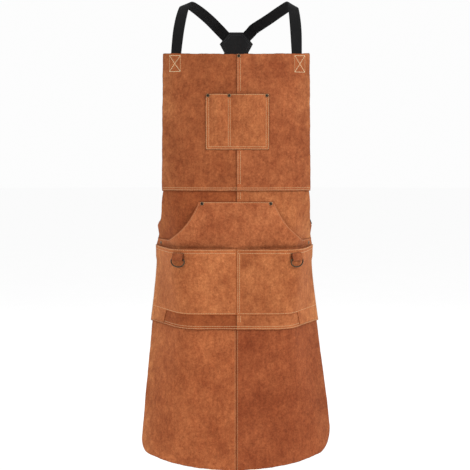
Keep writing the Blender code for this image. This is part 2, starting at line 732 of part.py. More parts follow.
def buckle_female(frame, mat):
    """The socket half: a flat case with a side window for each prong, and a bar for the tab."""
    half, deep = BUCKLE_HALF, 0.0058
    body = box("buckle_female", (-half, 0.0020, -deep), (half, FEMALE_HIGH, deep), mat)
    body.matrix_world = frame
    web = 0.0155
    cuts = (
        ("cut_slot_high", (-web, FEMALE_BAR + SQUARE_BAR, -0.01), (web, FEMALE_LOW + 0.001, 0.01)),
        ("cut_slot_low", (-web, -0.001, -0.01), (web, FEMALE_BAR - SQUARE_BAR, 0.01)),
        ("cut_bar_front", (-web, -0.001, SQUARE_BAR), (web, FEMALE_LOW + 0.001, 0.01)),
        ("cut_bar_back", (-web, -0.001, -0.01), (web, FEMALE_LOW + 0.001, -SQUARE_BAR)),
        ("cut_socket", (-0.0165, FEMALE_LOW + 0.003, -0.0038), (0.0165, FEMALE_HIGH + 0.001, 0.0038)),
        ("cut_windows", (-half - 0.001, 0.0165, -0.0038), (half + 0.001, 0.0300, 0.0038)),
    )
    for name, low, high in cuts:
        combine(body, cutter(name, low, high, frame, mat), "DIFFERENCE")
    return body


def buckle_male(frame, mat):
    """The plug half: a shoulder with a bar for the strap, and a guide tongue down the middle."""
    shoulder = FEMALE_HIGH + 0.0006
    body = box("buckle_male", (-BUCKLE_HALF, shoulder, -0.0036), (BUCKLE_HALF, 0.0560, 0.0036), mat)
    body.matrix_world = frame
    tongue = cutter("male_tongue", (-0.0035, 0.0160, -0.0030), (0.0035, 0.0420, 0.0030), frame, mat)
    combine(body, tongue, "UNION")
    web = 0.0155
    cuts = (
        ("cut_male_slot", (-web, 0.0460, -0.01), (web, MALE_BAR - SQUARE_BAR, 0.01)),
        ("cut_male_top", (-web, MALE_BAR + SQUARE_BAR, -0.01), (web, 0.0570, 0.01)),
        ("cut_male_front", (-web, 0.0460, SQUARE_BAR), (web, 0.0570, 0.01)),
        ("cut_male_back", (-web, 0.0460, -0.01), (web, 0.0570, -SQUARE_BAR)),
        ("cut_prong_rear", (-0.0152, 0.0385, -0.01), (-0.0078, 0.0436, 0.01)),
        ("cut_prong_front", (0.0078, 0.0385, -0.01), (0.0152, 0.0436, 0.01)),
    )
    for name, low, high in cuts:
        combine(body, cutter(name, low, high, frame, mat), "DIFFERENCE")
    return body


def buckle_prong(name, sign, frame, mat):
    """A springy arm that latches in the socket's window; its root is its joint's axis."""
    outline = [
        (0.0090, 0.0430), (0.0140, 0.0430), (0.0145, 0.0310), (0.0185, 0.0285),
        (0.0180, 0.0185), (0.0125, 0.0165), (0.0110, 0.0300),
    ]
    pivot = bpy.data.objects.new(f"{name}_axis", None)
    bpy.context.scene.collection.objects.link(pivot)
    root = Vector((sign * 0.0115, PRONG_ROOT, 0.0))
    pivot.matrix_world = frame @ Matrix.Translation(root)
    bm = bmesh.new()
    flat = [(sign * x - root.x, y - root.y) for x, y in outline]
    rings = [[bm.verts.new((x, y, z)) for x, y in flat] for z in (-0.0028, 0.0028)]
    bm.faces.new(rings[0])
    bm.faces.new(rings[1][::-1])
    for i in range(len(outline)):
        k = (i + 1) % len(outline)
        bm.faces.new((rings[0][i], rings[0][k], rings[1][k], rings[1][i]))
    prong = add_object(name, bm, mat)
    prong.parent = pivot
    return prong


def adjuster(side, mat):
    """A three-bar slide: the strap runs under its outer bars and over its middle bar."""
    flip = -1 if side == "left" else 1
    centre = Vector((flip * STRAIGHT_MIDDLE[0], *STRAIGHT_MIDDLE[1:]))
    rise = Vector(STRAIGHT_TOP) - Vector(STRAIGHT_BOTTOM)
    up = Vector((flip * rise.x, 0, rise.z)).normalized()
    out = Vector((0, 1, 0))
    frame = frame_at(centre, up.cross(out), up, out)
    low, high, reach = -0.0036, 0.0040, 0.0210
    body = box(f"strap_adjuster_{side}", (-reach, -0.0130, low), (reach, 0.0130, high), mat)
    body.matrix_world = frame
    web = 0.0160
    strap = WEB_THICK / 2 + 0.0006
    cuts = (
        ("strap", (-web, -0.014, -strap), (web, 0.014, strap)),
        ("upper", (-web, 0.0024, -0.01), (web, 0.0092, 0.01)),
        ("lower", (-web, -0.0092, -0.01), (web, -0.0024, 0.01)),
        ("over", (-web, -0.0030, strap - 0.0001), (web, 0.0030, 0.01)),
        ("under_upper", (-web, 0.0090, -0.01), (web, 0.0140, -strap + 0.0001)),
        ("under_lower", (-web, -0.0140, -0.01), (web, -0.0090, -strap + 0.0001)),
    )
    for name, a, b in cuts:
        combine(body, cutter(f"cut_{side}_{name}", a, b, frame, mat), "DIFFERENCE")
    return body


# ---------------------------------------------------------------- the whole apron


def build():
    clear_scene()
    leather_left = material("leather_brown", (0.36, 0.125, 0.045), 0.9)
    leather_right = material("leather_red_brown", (0.33, 0.105, 0.035), 0.9)
    pocket_leather = material("leather_orange", (0.45, 0.17, 0.065), 0.9)
    webbing = material("black_webbing", (0.012, 0.012, 0.013), 0.8)
    patch = material("black_patch", (0.010, 0.010, 0.011), 0.6)
    brass = material("antique_brass", (0.10, 0.065, 0.035), 0.4, 0.9)
    plastic = material("black_plastic", (0.010, 0.010, 0.010), 0.4)
    rows = (leather_left, leather_right)

    bib = bib_panels(rows)
    waist = panel_pair(
        "waist", HALF_WIDTH, armhole, lambda u: WAIST_BOTTOM, even(15), WAIST_BASE, rows,
        0.208, 0.219, 0.229, 0.255, 0.270, 0.285,
    )
    skirt_edge = HALF_WIDTH - 0.0005
    panel_pair(
        "skirt", skirt_edge, lambda u: WAIST_BOTTOM - ROW_LAP, hem, even(7), SKIRT_BASE, rows,
        0.245, 0.270, 0.290, 0.299,
    )
    chest = chest_pocket(pocket_leather)
    pouch = kangaroo_pouch(pocket_leather)
    lower_pockets(pocket_leather)

    on_bib = BIB_BASE + LAYER + LEATHER
    rivet("rivet_bib_top", 0.006, 0.006, BIB_BASE - LAYER, BIB_BASE + LEATHER, bib, brass)
    chest_rivets = (("left", CHEST_LEFT + 0.006), ("divider", CHEST_DIVIDER), ("right", CHEST_RIGHT - 0.006))
    for place, u in chest_rivets:
        panels = [bib[1] if u > 0 else bib[0], chest]
        rivet(f"rivet_chest_{place}", u, CHEST_TOP + 0.005, BIB_BASE, on_bib, panels, brass)
    on_waist = WAIST_BASE + LAYER + LEATHER
    hip_tabs = {}
    frames = {side: hip_frame(side) for side in ("left", "right")}
    for k, side in enumerate(("left", "right")):
        flip = 2 * k - 1
        hip_tabs[side] = side_tab(side, frames[side], pocket_leather)
        top_u = flip * (POUCH_CORNER - 0.009)
        rivet(f"rivet_pouch_{side}", top_u, POUCH_TOP + 0.005, WAIST_BASE, on_waist, [waist[k], pouch], brass)
        rivet(
            f"rivet_side_{side}", flip * 0.262, 0.4845, WAIST_BASE - SIDE_TAB_GAP - SIDE_TAB_THICK, on_waist,
            [waist[k], pouch, hip_tabs[side]], brass,
        )
        d_ring_and_tab(side, D_RING_U[k], brass, pocket_leather)
        adjuster(side, plastic)

    cross_straps(webbing)
    cross_patch(patch)
    strap_return("left", LOOP_BAR_HIGH, frames["left"], webbing)
    strap_return("right", MALE_BAR, frames["right"], webbing)
    hip_loop(frames["left"], plastic)
    buckle_female(frames["right"], plastic)
    buckle_male(frames["right"], plastic)
    buckle_prong("buckle_prong_front", 1, frames["right"], plastic)
    buckle_prong("buckle_prong_rear", -1, frames["right"], plastic)


build()
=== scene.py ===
"""The looks of a split-leather welding apron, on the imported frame.

The leather is laid out flat in (u, v), in metres: u runs sideways from the centre line and v runs down from
the bib's top edge. on_body() bends it round the wearer, as the frame's solids are bent, but smoothly.
"""

import json
import math

import bmesh
import bpy
import numpy as np
from mathutils import Matrix, Vector


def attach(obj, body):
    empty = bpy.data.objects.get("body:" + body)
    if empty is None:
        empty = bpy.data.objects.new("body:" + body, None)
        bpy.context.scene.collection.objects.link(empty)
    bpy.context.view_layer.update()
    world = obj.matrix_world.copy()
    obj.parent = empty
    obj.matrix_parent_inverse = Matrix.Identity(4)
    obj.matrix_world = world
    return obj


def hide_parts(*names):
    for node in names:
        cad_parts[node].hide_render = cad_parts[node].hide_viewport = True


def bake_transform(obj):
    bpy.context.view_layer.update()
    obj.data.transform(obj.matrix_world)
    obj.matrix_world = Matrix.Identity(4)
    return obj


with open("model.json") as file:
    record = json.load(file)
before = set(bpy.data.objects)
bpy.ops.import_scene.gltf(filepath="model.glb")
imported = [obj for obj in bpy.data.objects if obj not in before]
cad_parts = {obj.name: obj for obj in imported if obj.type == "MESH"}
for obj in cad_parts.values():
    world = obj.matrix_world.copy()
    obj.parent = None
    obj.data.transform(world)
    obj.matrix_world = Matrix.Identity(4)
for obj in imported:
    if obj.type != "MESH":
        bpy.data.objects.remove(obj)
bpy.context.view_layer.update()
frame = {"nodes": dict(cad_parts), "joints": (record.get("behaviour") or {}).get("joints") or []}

# ---- the frame's own measures

LEATHER, CLEARANCE = 0.0014, 0.0008
LAYER = LEATHER + CLEARANCE
BIB_BASE, WAIST_BASE, SKIRT_BASE = 2 * LAYER, 0.0, -2 * LAYER
SEAM_LAP, DIP_START, DIP_END, ROW_LAP = 0.012, 0.012, 0.004, 0.014
BIB_BOTTOM, WAIST_BOTTOM, HEM, HALF_WIDTH = 0.345, 0.699, 1.067, 0.305
HEM_RADIUS, HEM_RISE, HEM_CURVE = {-1: 0.035, 1: 0.060}, {-1: 0.018, 1: 0.030}, 1.3
BIB_TOP_Z, TOP_CORNER_LIFT = -0.152, 0.008
CHEST_LEFT, CHEST_DIVIDER, CHEST_RIGHT = -0.077, -0.018, 0.082
CHEST_TOP, CHEST_BOTTOM, CHEST_EDGE, CHEST_SEAM = 0.101, 0.241, 0.0115, 0.0055
PEN_SLACK, PHONE_SLACK = 0.0100, 0.0120
POUCH_TOP, POUCH_TIP, POUCH_BOTTOM = 0.372, 0.473, 0.518
POUCH_CORNER, POUCH_END, POUCH_MOUTH_CURVE = 0.096, 0.285, 5.6
POUCH_SLACK, POUCH_HEM, POUCH_SEAM = 0.0145, 0.010, 0.489
LOWER_TOP, LOWER_BOTTOM, LOWER_EAR = 0.492, 0.660, 0.694
LOWER_EAR_LEFT, LOWER_EAR_RIGHT, LOWER_END, LOWER_SLACK = -0.218, 0.174, 0.300, 0.0130
WEB_WIDTH, WEB_THICK, STRAP_U, STRAP_SEWN = 0.030, 0.0015, 0.158, (0.046, 0.024, 0.002)
PATCH_Y, PATCH_STACK, PATCH_CENTRE_Z = 0.2405, 0.0027, -0.102
PATCH_RIGHT = ((0.018, -0.063), (0.046, -0.095), (0.019, -0.145))  # x and z of the corners on the right
D_WIRE, D_HALF_WIDTH, D_DROP, D_BAR_END, D_CORNER = 0.00175, 0.0208, 0.0190, 0.0192, 0.0040
TAB_WIDTH = 0.034
SIDE_TAB_WIDTH, SIDE_TAB_THICK, SIDE_TAB_GAP = 0.028, 0.0016, 0.0014
LOOP_BAR, FEMALE_BAR, MALE_BAR, LOOP_BAR_HIGH = 0.0018, 0.0060, 0.0520, 0.0300
TAB_PATTERN = ((0.252, 0.511), (0.262, 0.484), (0.272, 0.457))
STRAIGHT_TOP, STRAIGHT_BOTTOM = (0.0800, 0.2620, -0.265), (0.1550, 0.2620, -0.450)
STRAIGHT_MIDDLE = tuple((a + b) / 2 for a, b in zip(STRAIGHT_TOP, STRAIGHT_BOTTOM))
STRAIGHT_LEAD = tuple(a - (b - a) / 8 for a, b in zip(STRAIGHT_TOP, STRAIGHT_BOTTOM))
SHOULDER_LEFT = (
    ((-0.1470, 0.0450, -0.085), (-0.25, -0.90, 0.35)),
    ((-0.1375, 0.0740, -0.032), (-0.25, -0.62, 0.74)),
    ((-0.1290, 0.1050, -0.0105), (-0.33, 0.02, 0.94)),
    ((-0.1030, 0.1460, -0.0190), (-0.28, 0.50, 0.82)),
    ((-0.0735, 0.1860, -0.0375), (-0.15, 0.78, 0.60)),
)
SHOULDER_RIGHT = (  # as if on the left
    ((-0.1517, 0.0450, -0.085), (-0.18, -0.92, 0.35)),
    ((-0.1482, 0.0740, -0.032), (-0.28, -0.62, 0.72)),
    ((-0.1450, 0.1050, -0.0120), (-0.48, 0.02, 0.87)),
    ((-0.1225, 0.1420, -0.0190), (-0.38, 0.50, 0.78)),
    ((-0.0860, 0.1860, -0.0375), (-0.20, 0.78, 0.60)),
)
WAIST_TURN = (((0.1725, 0.2560, -0.4830), (0.40, 0.92)), ((0.1890, 0.2300, -0.5040), (0.72, 0.69)))
STRAND_GAP, HIP_BEND, HIP_RISE = 0.0058, math.radians(36), 0.026
WRAP = (
    (0.000, 30, 30, 0.00, 0.20), (0.170, 38, 40, 0.03, 0.21), (0.345, 46, 48, 0.06, 0.20),
    (0.480, 64, 68, 0.095, 0.18), (0.700, 57, 61, 0.085, 0.18), (1.067, 51, 49, 0.00, 0.31),
)
CENTRE_DEPTH = ((0.0, 0.012), (0.20, -0.002), (0.45, 0.0), (0.66, -0.008), (1.067, -0.012))
OUTLINE = (
    (0.000, 0.196), (0.118, 0.198), (0.250, 0.202), (0.345, 0.208),
    (0.400, 0.229), (0.440, 0.255), (0.470, 0.285), (0.492, 0.305),
)
BODY = "apron"
SHOWN_LEATHER = 0.0018  # the hide's own thickness: its back face reaches into the solids' sewing gap

# ---- the body's curve


def along(stations, v, column):
    """One column of the stations, smoothly between them, at v."""
    xs = np.array([row[0] for row in stations])
    ys = np.array([row[column] for row in stations], float)
    v = np.clip(v, xs[0], xs[-1])
    k = np.clip(np.searchsorted(xs, v, side="right") - 1, 0, len(xs) - 2)
    index = np.arange(len(xs))
    low, high = np.maximum(index - 1, 0), np.minimum(index + 1, len(xs) - 1)
    slopes = (ys[high] - ys[low]) / (xs[high] - xs[low])
    span = xs[k + 1] - xs[k]
    t = (v - xs[k]) / span
    return (
        (2 * t**3 - 3 * t**2 + 1) * ys[k]
        + (t**3 - 2 * t**2 + t) * span * slopes[k]
        + (3 * t**2 - 2 * t**3) * ys[k + 1]
        + (t**3 - t**2) * span * slopes[k + 1]
    )


def half_width(v):
    """The bib's half width at v."""
    return np.interp(v, [row[0] for row in OUTLINE], [row[1] for row in OUTLINE])


def bent(u, v):
    """The pattern bent round the wearer: each half starts flat and turns back towards its side."""
    u, v = np.broadcast_arrays(np.asarray(u, float), np.asarray(v, float))
    angle = np.radians(np.where(u < 0, along(WRAP, v, 1), along(WRAP, v, 2)))
    start, end = along(WRAP, v, 3), along(WRAP, v, 4)
    samples = 24
    x, y = np.zeros(u.shape), np.zeros(u.shape)
    for i in range(samples):
        turned = np.clip((np.abs(u) * (i + 0.5) / samples - start) / (end - start), 0, 1)
        bend = angle * turned * turned * (3 - 2 * turned)
        x += np.cos(bend)
        y += np.sin(bend)
    lift = TOP_CORNER_LIFT * np.maximum(1 - v / 0.12, 0.0) ** 2 * (u / 0.19) ** 2
    depth = np.abs(u) * y / samples + along(CENTRE_DEPTH, v, 1)
    return np.stack([u * x / samples, depth, BIB_TOP_Z - v + lift], -1)


def unit(a):
    return a / np.maximum(np.linalg.norm(a, axis=-1, keepdims=True), 1e-12)


def outward(u, v):
    step = 0.004
    across = bent(u + step, v) - bent(u - step, v)
    down = bent(u, v + step) - bent(u, v - step)
    return unit(np.cross(down, across))


def on_body(u, v, height):
    u, v = np.asarray(u, float), np.asarray(v, float)
    return bent(u, v) + np.asarray(height, float)[..., None] * outward(u, v)


# ---- how the leather lies

HARDWARE_SPOTS = (
    (0.006, 0.006), (-0.071, 0.106), (-0.018, 0.106), (0.076, 0.106), (-0.087, 0.377), (0.087, 0.377),
    (-0.262, 0.484), (0.262, 0.484), (-0.138, 0.510), (0.142, 0.510), (-0.158, 0.03), (0.158, 0.03),
)
RIPPLES = (  # waves over RIPPLE_SPAN across and down, and where each starts
    (9.0, 3.0, 0.4), (-5.0, 8.5, 1.9), (17.0, 4.0, 3.1),
    (-13.0, 11.0, 5.2), (3.0, 21.0, 0.9), (26.0, -9.0, 2.2),
)
RIPPLE_SPAN, RIPPLE_DEPTH, HEM_RIPPLE_DEPTH, STILL_RADIUS = 2.2, 0.00030, 0.00045, 0.020
PEN = (CHEST_LEFT + CHEST_EDGE, CHEST_DIVIDER - CHEST_SEAM)  # where each compartment starts and ends
PHONE = (CHEST_DIVIDER + CHEST_SEAM, CHEST_RIGHT - CHEST_EDGE)


def ripple(u, v):
    """The slow unevenness of hide, which all its layers share. It dies away at the hardware."""
    u, v = np.asarray(u, float), np.asarray(v, float)
    lie = 0
    for k, (across, down, start) in enumerate(RIPPLES):
        lie = lie + np.sin(2 * np.pi * (across * u + down * v) / RIPPLE_SPAN + start) / (1 + k * 0.55)
    lie = lie * (RIPPLE_DEPTH + HEM_RIPPLE_DEPTH * np.clip((v - 0.70) / 0.25, 0, 1))
    for at_u, at_v in HARDWARE_SPOTS:
        lie = lie * (1 - np.exp(-(((u - at_u) ** 2 + (v - at_v) ** 2) / STILL_RADIUS**2)))
    return lie


def step_down(u):
    """How far a left panel dips to pass under the right one."""
    return LAYER * np.clip((u + DIP_START) / (DIP_START - DIP_END), 0, 1)


def row_base(height, left=False):
    """How high a row of panels lies, as a function of u and v."""
    return lambda u, v: height + ripple(u, v) - (step_down(u) if left else 0)


def swell(u, start, end, slack, v, top, bottom, power=0.7):
    """How far a pocket stands open: most in the middle of its mouth, and not at all at its bottom seam."""
    across = np.clip((u - start) / (end - start), 0, 1)
    down = np.clip((v - top) / (bottom - top), 0, 1)
    return slack * np.sin(np.pi * across) ** power * (1 - down**3)


def chest_top(u):
    """The chest pocket's top edge, which dips where the pocket stands open."""
    return CHEST_TOP + swell(u, *PEN, 0.0016, 0.0, 0.0, 1.0) + swell(u, *PHONE, 0.0022, 0.0, 0.0, 1.0)


def chest_base(u, v):
    pen = swell(u, *PEN, PEN_SLACK, v, CHEST_TOP, CHEST_BOTTOM)
    phone = swell(u, *PHONE, PHONE_SLACK, v, CHEST_TOP, CHEST_BOTTOM)
    return BIB_BASE + LAYER + pen + phone + ripple(u, v)


def pouch_base(u, v):
    top = POUCH_TOP + POUCH_HEM
    share = np.clip((v - top) / (POUCH_SEAM - top), 0, 1)
    end = np.clip((0.235 - np.abs(u)) / 0.06, 0, 1)
    end = end * end * (3 - 2 * end)
    return WAIST_BASE + LAYER + POUCH_SLACK * np.sin(np.pi * share) ** 0.8 * end + ripple(u, v)


def lower_base(u, v):
    over_pouch = 2 - np.clip((v - POUCH_BOTTOM - 0.006) / 0.012, 0, 1)
    power = np.where(np.abs(u) > LOWER_END / 2, 1.2, 0.6)
    left = swell(u, -LOWER_END, -CLEARANCE, LOWER_SLACK, v, LOWER_TOP, LOWER_BOTTOM, power)
    right = swell(u, CLEARANCE, LOWER_END, LOWER_SLACK, v, LOWER_TOP, LOWER_BOTTOM, power)
    return WAIST_BASE + over_pouch * LAYER + np.where(u < 0, left, right) + ripple(u, v)


def wobble(x, seed):
    """A knife-cut edge's small wander."""
    waves = np.sin(x * 71 + seed) + 0.7 * np.sin(x * 163 + 2 * seed) + 0.4 * np.sin(x * 397 + 3 * seed)
    return 0.00035 * waves


# ---- materials


def nodes_of(name):
    mat = bpy.data.materials.new(name)
    mat.use_nodes = True
    tree = mat.node_tree
    return mat, tree, tree.nodes["Principled BSDF"]


def add(tree, kind, **values):
    node = tree.nodes.new(kind)
    for key, value in values.items():
        setattr(node, key, value)
    return node


def noise(tree, vector, scale, detail, roughness=0.55):
    node = add(tree, "ShaderNodeTexNoise")
    node.inputs["Scale"].default_value = scale
    node.inputs["Detail"].default_value = detail
    node.inputs["Roughness"].default_value = roughness
    tree.links.new(vector, node.inputs["Vector"])
    return node.outputs["Fac"]


def remap(tree, value, low, high, new_low, new_high):
    node = add(tree, "ShaderNodeMapRange")
    for key, number in zip(("From Min", "From Max", "To Min", "To Max"), (low, high, new_low, new_high)):
        node.inputs[key].default_value = number
    tree.links.new(value, node.inputs["Value"])
    return node.outputs["Result"]


def maths(tree, operation, a, b):
    node = add(tree, "ShaderNodeMath", operation=operation)
    for socket, value in zip(node.inputs, (a, b)):
        if isinstance(value, (int, float)):
            socket.default_value = value
        else:
            tree.links.new(value, socket)
    return node.outputs[0]


def mixed(tree, factor, a, b, blend="MIX"):
    node = add(tree, "ShaderNodeMix", data_type="RGBA", blend_type=blend)
    for socket, value in ((node.inputs[0], factor), (node.inputs[6], a), (node.inputs[7], b)):
        if isinstance(value, (int, float)):
            socket.default_value = value
        elif isinstance(value, tuple):
            socket.default_value = (*value, 1.0)
        else:
            tree.links.new(value, socket)
    return node.outputs[2]


def place(tree, stretch=(1, 1, 1), shift=(0, 0, 0)):
    """The piece's own coordinates, stretched and shifted."""
    coordinates = add(tree, "ShaderNodeTexCoord")
    mapping = add(tree, "ShaderNodeMapping")
    mapping.inputs["Scale"].default_value = stretch
    mapping.inputs["Location"].default_value = shift
    tree.links.new(coordinates.outputs["Object"], mapping.inputs["Vector"])
    return mapping.outputs["Vector"]


def finish(tree, shader, tone, roughness, layers, specular=0.5):
    """A material's colour, roughness and shine, and its bump from (height, strength, distance) layers."""
    tree.links.new(tone, shader.inputs["Base Color"])
    tree.links.new(roughness, shader.inputs["Roughness"])
    shader.inputs["Specular IOR Level"].default_value = specular
    normal = None
    for height, strength, distance in layers:
        node = add(tree, "ShaderNodeBump")
        node.inputs["Strength"].default_value = strength
        node.inputs["Distance"].default_value = distance
        tree.links.new(height, node.inputs["Height"])
        if normal is not None:
            tree.links.new(normal, node.inputs["Normal"])
        normal = node.outputs["Normal"]
    tree.links.new(normal, shader.inputs["Normal"])


def suede(name, colour, seed, contrast=1.0):
    """Split hide: mottled and brushed, paler at the sides as a painted highlight, paler where stitching rubs,
    and dark where cut.

    Its meshes carry those three as the attributes side (where the painted side highlight goes), rub and cut.
    """
    mat, tree, shader = nodes_of(name)
    at = place(tree, shift=(seed * 0.37, seed * 0.91, seed * 0.53))
    brushed = place(tree, stretch=(1, 1, 0.22), shift=(seed * 0.71, 0, seed * 0.29))
    cloud = noise(tree, at, 11, 5, 0.62)
    blotch = noise(tree, at, 52, 6, 0.68)
    fleck = noise(tree, at, 170, 6, 0.72)
    grain = noise(tree, at, 520, 3)
    nap = noise(tree, at, 1900, 2)
    streak = noise(tree, brushed, 120, 4, 0.65)
    dark = tuple(c * (1 - k * contrast) for c, k in zip(colour, (0.20, 0.27, 0.30)))
    light = tuple(min(c * (1 + k * contrast), 1) for c, k in zip(colour, (0.16, 0.26, 0.28)))
    tone = mixed(tree, remap(tree, cloud, 0.33, 0.67, 0, 1), dark, light)
    for spots, deep, pale in (
        (blotch, (0.84, 0.78, 0.76), (1.15, 1.22, 1.24)),
        (fleck, (0.80, 0.75, 0.73), (1.20, 1.25, 1.27)),
    ):
        tint = mixed(tree, remap(tree, spots, 0.34, 0.66, 0, 1), deep, pale)
        tone = mixed(tree, 1.0, tone, tint, "MULTIPLY")
    speckle = remap(tree, grain, 0.3, 0.7, 0.80, 1.18)
    for finer, share in ((streak, 0.12), (nap, 0.07)):
        speckle = maths(tree, "ADD", speckle, remap(tree, finer, 0.3, 0.7, -share, share))
    shade = add(tree, "ShaderNodeCombineColor")
    for socket in shade.inputs[:3]:
        tree.links.new(speckle, socket)
    tone = mixed(tree, 1.0, tone, shade.outputs[0], "MULTIPLY")
    stored = [add(tree, "ShaderNodeAttribute", attribute_name=kind) for kind in ("side", "cut", "rub")]
    side, cut, rub = (node.outputs["Fac"] for node in stored)
    # painted highlight: the hide is coloured lighter towards its side edges, where it turns away from view
    painted_side_highlight = maths(tree, "MULTIPLY", side, remap(tree, cloud, 0.3, 0.7, 0.25, 1.0))
    tone = mixed(tree, 1.0, tone, mixed(tree, painted_side_highlight, (1.0, 1.0, 1.0), (1.12, 1.36, 1.42)), "MULTIPLY")
    tone = mixed(tree, maths(tree, "MULTIPLY", rub, 0.26), tone, tuple(min(c * 1.5, 1) for c in colour))
    tone = mixed(tree, maths(tree, "MULTIPLY", cut, 0.85), tone, (0.050, 0.016, 0.008))
    shader.inputs["Sheen Weight"].default_value = 0.10
    shader.inputs["Sheen Roughness"].default_value = 0.45
    shader.inputs["Sheen Tint"].default_value = (1.0, 0.50, 0.24, 1.0)
    relief = [(blotch, 0.45, 0.0016), (fleck, 0.35, 0.0010), (grain, 0.5, 0.0006), (nap, 0.35, 0.00025)]
    finish(tree, shader, tone, remap(tree, blotch, 0.3, 0.7, 0.84, 0.97), relief, 0.10)
    return mat


def thread(name, colour):
    mat, tree, shader = nodes_of(name)
    at = place(tree)
    twist = noise(tree, at, 1500, 2)
    soil = noise(tree, at, 28, 3)
    tone = mixed(tree, remap(tree, twist, 0.3, 0.7, 0, 1), tuple(c * 0.72 for c in colour), colour)
    tone = mixed(tree, remap(tree, soil, 0.4, 0.75, 0, 0.45), tone, tuple(c * 0.55 for c in colour))
    finish(tree, shader, tone, remap(tree, twist, 0.3, 0.7, 0.55, 0.8), [(twist, 0.4, 0.0002)])
    return mat


def webbing(name):
    """Woven strap: slanted ribs in two directions that make rows of chevrons along its length."""
    mat, tree, shader = nodes_of(name)
    weave = add(tree, "ShaderNodeUVMap", uv_map="weave").outputs["UV"]
    split = add(tree, "ShaderNodeSeparateXYZ")
    tree.links.new(weave, split.inputs[0])
    across, run = split.outputs[0], split.outputs[1]
    column = maths(tree, "PINGPONG", across, 0.0025)
    rib_pitch, line_pitch = 0.0019, 0.0012
    ribs = maths(tree, "MULTIPLY", maths(tree, "ADD", run, column), 2 * math.pi / rib_pitch)
    ribs = maths(tree, "SINE", ribs, 0)
    lines = maths(tree, "SINE", maths(tree, "MULTIPLY", across, 2 * math.pi / line_pitch), 0)
    height = maths(tree, "ADD", ribs, maths(tree, "MULTIPLY", lines, 0.35))
    dust = noise(tree, place(tree), 60, 4)
    fibre = noise(tree, place(tree), 2400, 2)
    # painted shade and highlight: the ribs' troughs are coloured darker and their crests lighter
    painted_rib_shading = remap(tree, height, -1.2, 1.2, 0, 1)
    tone = mixed(tree, painted_rib_shading, (0.0015, 0.0015, 0.0017), (0.0055, 0.0055, 0.006))
    tone = mixed(tree, remap(tree, dust, 0.45, 0.8, 0, 0.22), tone, (0.014, 0.0135, 0.0135))
    relief = [(height, 0.55, 0.00018), (fibre, 0.3, 0.0001)]
    finish(tree, shader, tone, remap(tree, fibre, 0.3, 0.7, 0.62, 0.86), relief, 0.15)
    return mat


def coated_cloth(name):
    mat, tree, shader = nodes_of(name)
    at = place(tree)
    grain, crease, dust = noise(tree, at, 900, 4), noise(tree, at, 60, 4), noise(tree, at, 22, 3)
    tone = mixed(tree, remap(tree, dust, 0.4, 0.7, 0, 1), (0.002, 0.002, 0.0024), (0.007, 0.007, 0.0075))
    relief = [(crease, 0.5, 0.0012), (grain, 0.4, 0.0002)]
    finish(tree, shader, tone, remap(tree, grain, 0.3, 0.7, 0.42, 0.66), relief, 0.22)
    return mat


def old_brass(name, dark, light):
    """Dark plating that has worn to brass on its high spots."""
    mat, tree, shader = nodes_of(name)
    at = place(tree)
    stain, scratch = noise(tree, at, 260, 5), noise(tree, place(tree, stretch=(1, 1, 7)), 500, 3)
    high = add(tree, "ShaderNodeNewGeometry").outputs["Pointiness"]
    worn = maths(tree, "MULTIPLY", remap(tree, high, 0.52, 0.60, 0, 1), remap(tree, stain, 0.35, 0.6, 0.2, 1))
    tone = mixed(tree, remap(tree, stain, 0.3, 0.7, 0, 1), dark, light)
    tone = mixed(tree, worn, tone, (0.40, 0.27, 0.13))
    shader.inputs["Metallic"].default_value = 0.85
    finish(tree, shader, tone, remap(tree, scratch, 0.3, 0.7, 0.26, 0.48), [(stain, 0.15, 0.0002)])
    return mat


def moulded(name):
    mat, tree, shader = nodes_of(name)
    at = place(tree)
    pebble, scuff = noise(tree, at, 1300, 2), noise(tree, at, 130, 5, 0.7)
    tone = mixed(tree, remap(tree, scuff, 0.5, 0.75, 0, 0.5), (0.008, 0.008, 0.009), (0.024, 0.024, 0.025))
    finish(tree, shader, tone, remap(tree, scuff, 0.3, 0.7, 0.36, 0.56), [(pebble, 0.25, 0.00012)])
    return mat


HIDES = {  # each piece's colour, seed and contrast
    "bib_left": ((0.279, 0.076, 0.026), 1.0),
    "bib_right": ((0.300, 0.083, 0.030), 2.3),
    "waist_left": ((0.256, 0.063, 0.020), 3.1, 1.1),
    "waist_right": ((0.341, 0.102, 0.036), 4.7),
    "skirt_left": ((0.331, 0.090, 0.031), 5.9),
    "skirt_right": ((0.260, 0.063, 0.022), 7.2),
    "chest": ((0.347, 0.105, 0.037), 8.8, 0.8),
    "pouch": ((0.340, 0.098, 0.036), 9.4),
    "lower_left": ((0.363, 0.109, 0.038), 10.6),
    "lower_right": ((0.352, 0.106, 0.037), 11.9),
    "tab": ((0.286, 0.080, 0.029), 13.3),
}
SUEDE = {piece: suede(f"suede_{piece}", *look) for piece, look in HIDES.items()}
THREAD = thread("tan_thread", (0.70, 0.44, 0.22))
DULL = thread("dull_thread", (0.50, 0.26, 0.115))
CREAM = thread("cream_thread", (0.92, 0.76, 0.46))
BLACK_THREAD = thread("black_thread", (0.045, 0.045, 0.048))
WEB = webbing("black_webbing")
CLOTH = coated_cloth("black_coated_cloth")
BRASS = old_brass("old_brass", (0.014, 0.010, 0.008), (0.050, 0.032, 0.020))
# lighter brass for the rivets' rims: partly wear, partly a painted highlight
RIM = old_brass("worn_rim_painted_highlight", (0.20, 0.13, 0.075), (0.46, 0.33, 0.20))
PLASTIC = moulded("black_moulded_plastic")

# ---- mesh tools


def mesh_object(name, vertices, faces, mat, smooth=True):
    mesh = bpy.data.meshes.new(name)
    mesh.from_pydata([tuple(p) for p in vertices], [], faces)
    mesh.validate()
    mesh.shade_smooth() if smooth else mesh.shade_flat()
    mesh.materials.append(mat)
    obj = bpy.data.objects.new(name, mesh)
    bpy.context.scene.collection.objects.link(obj)
    return obj


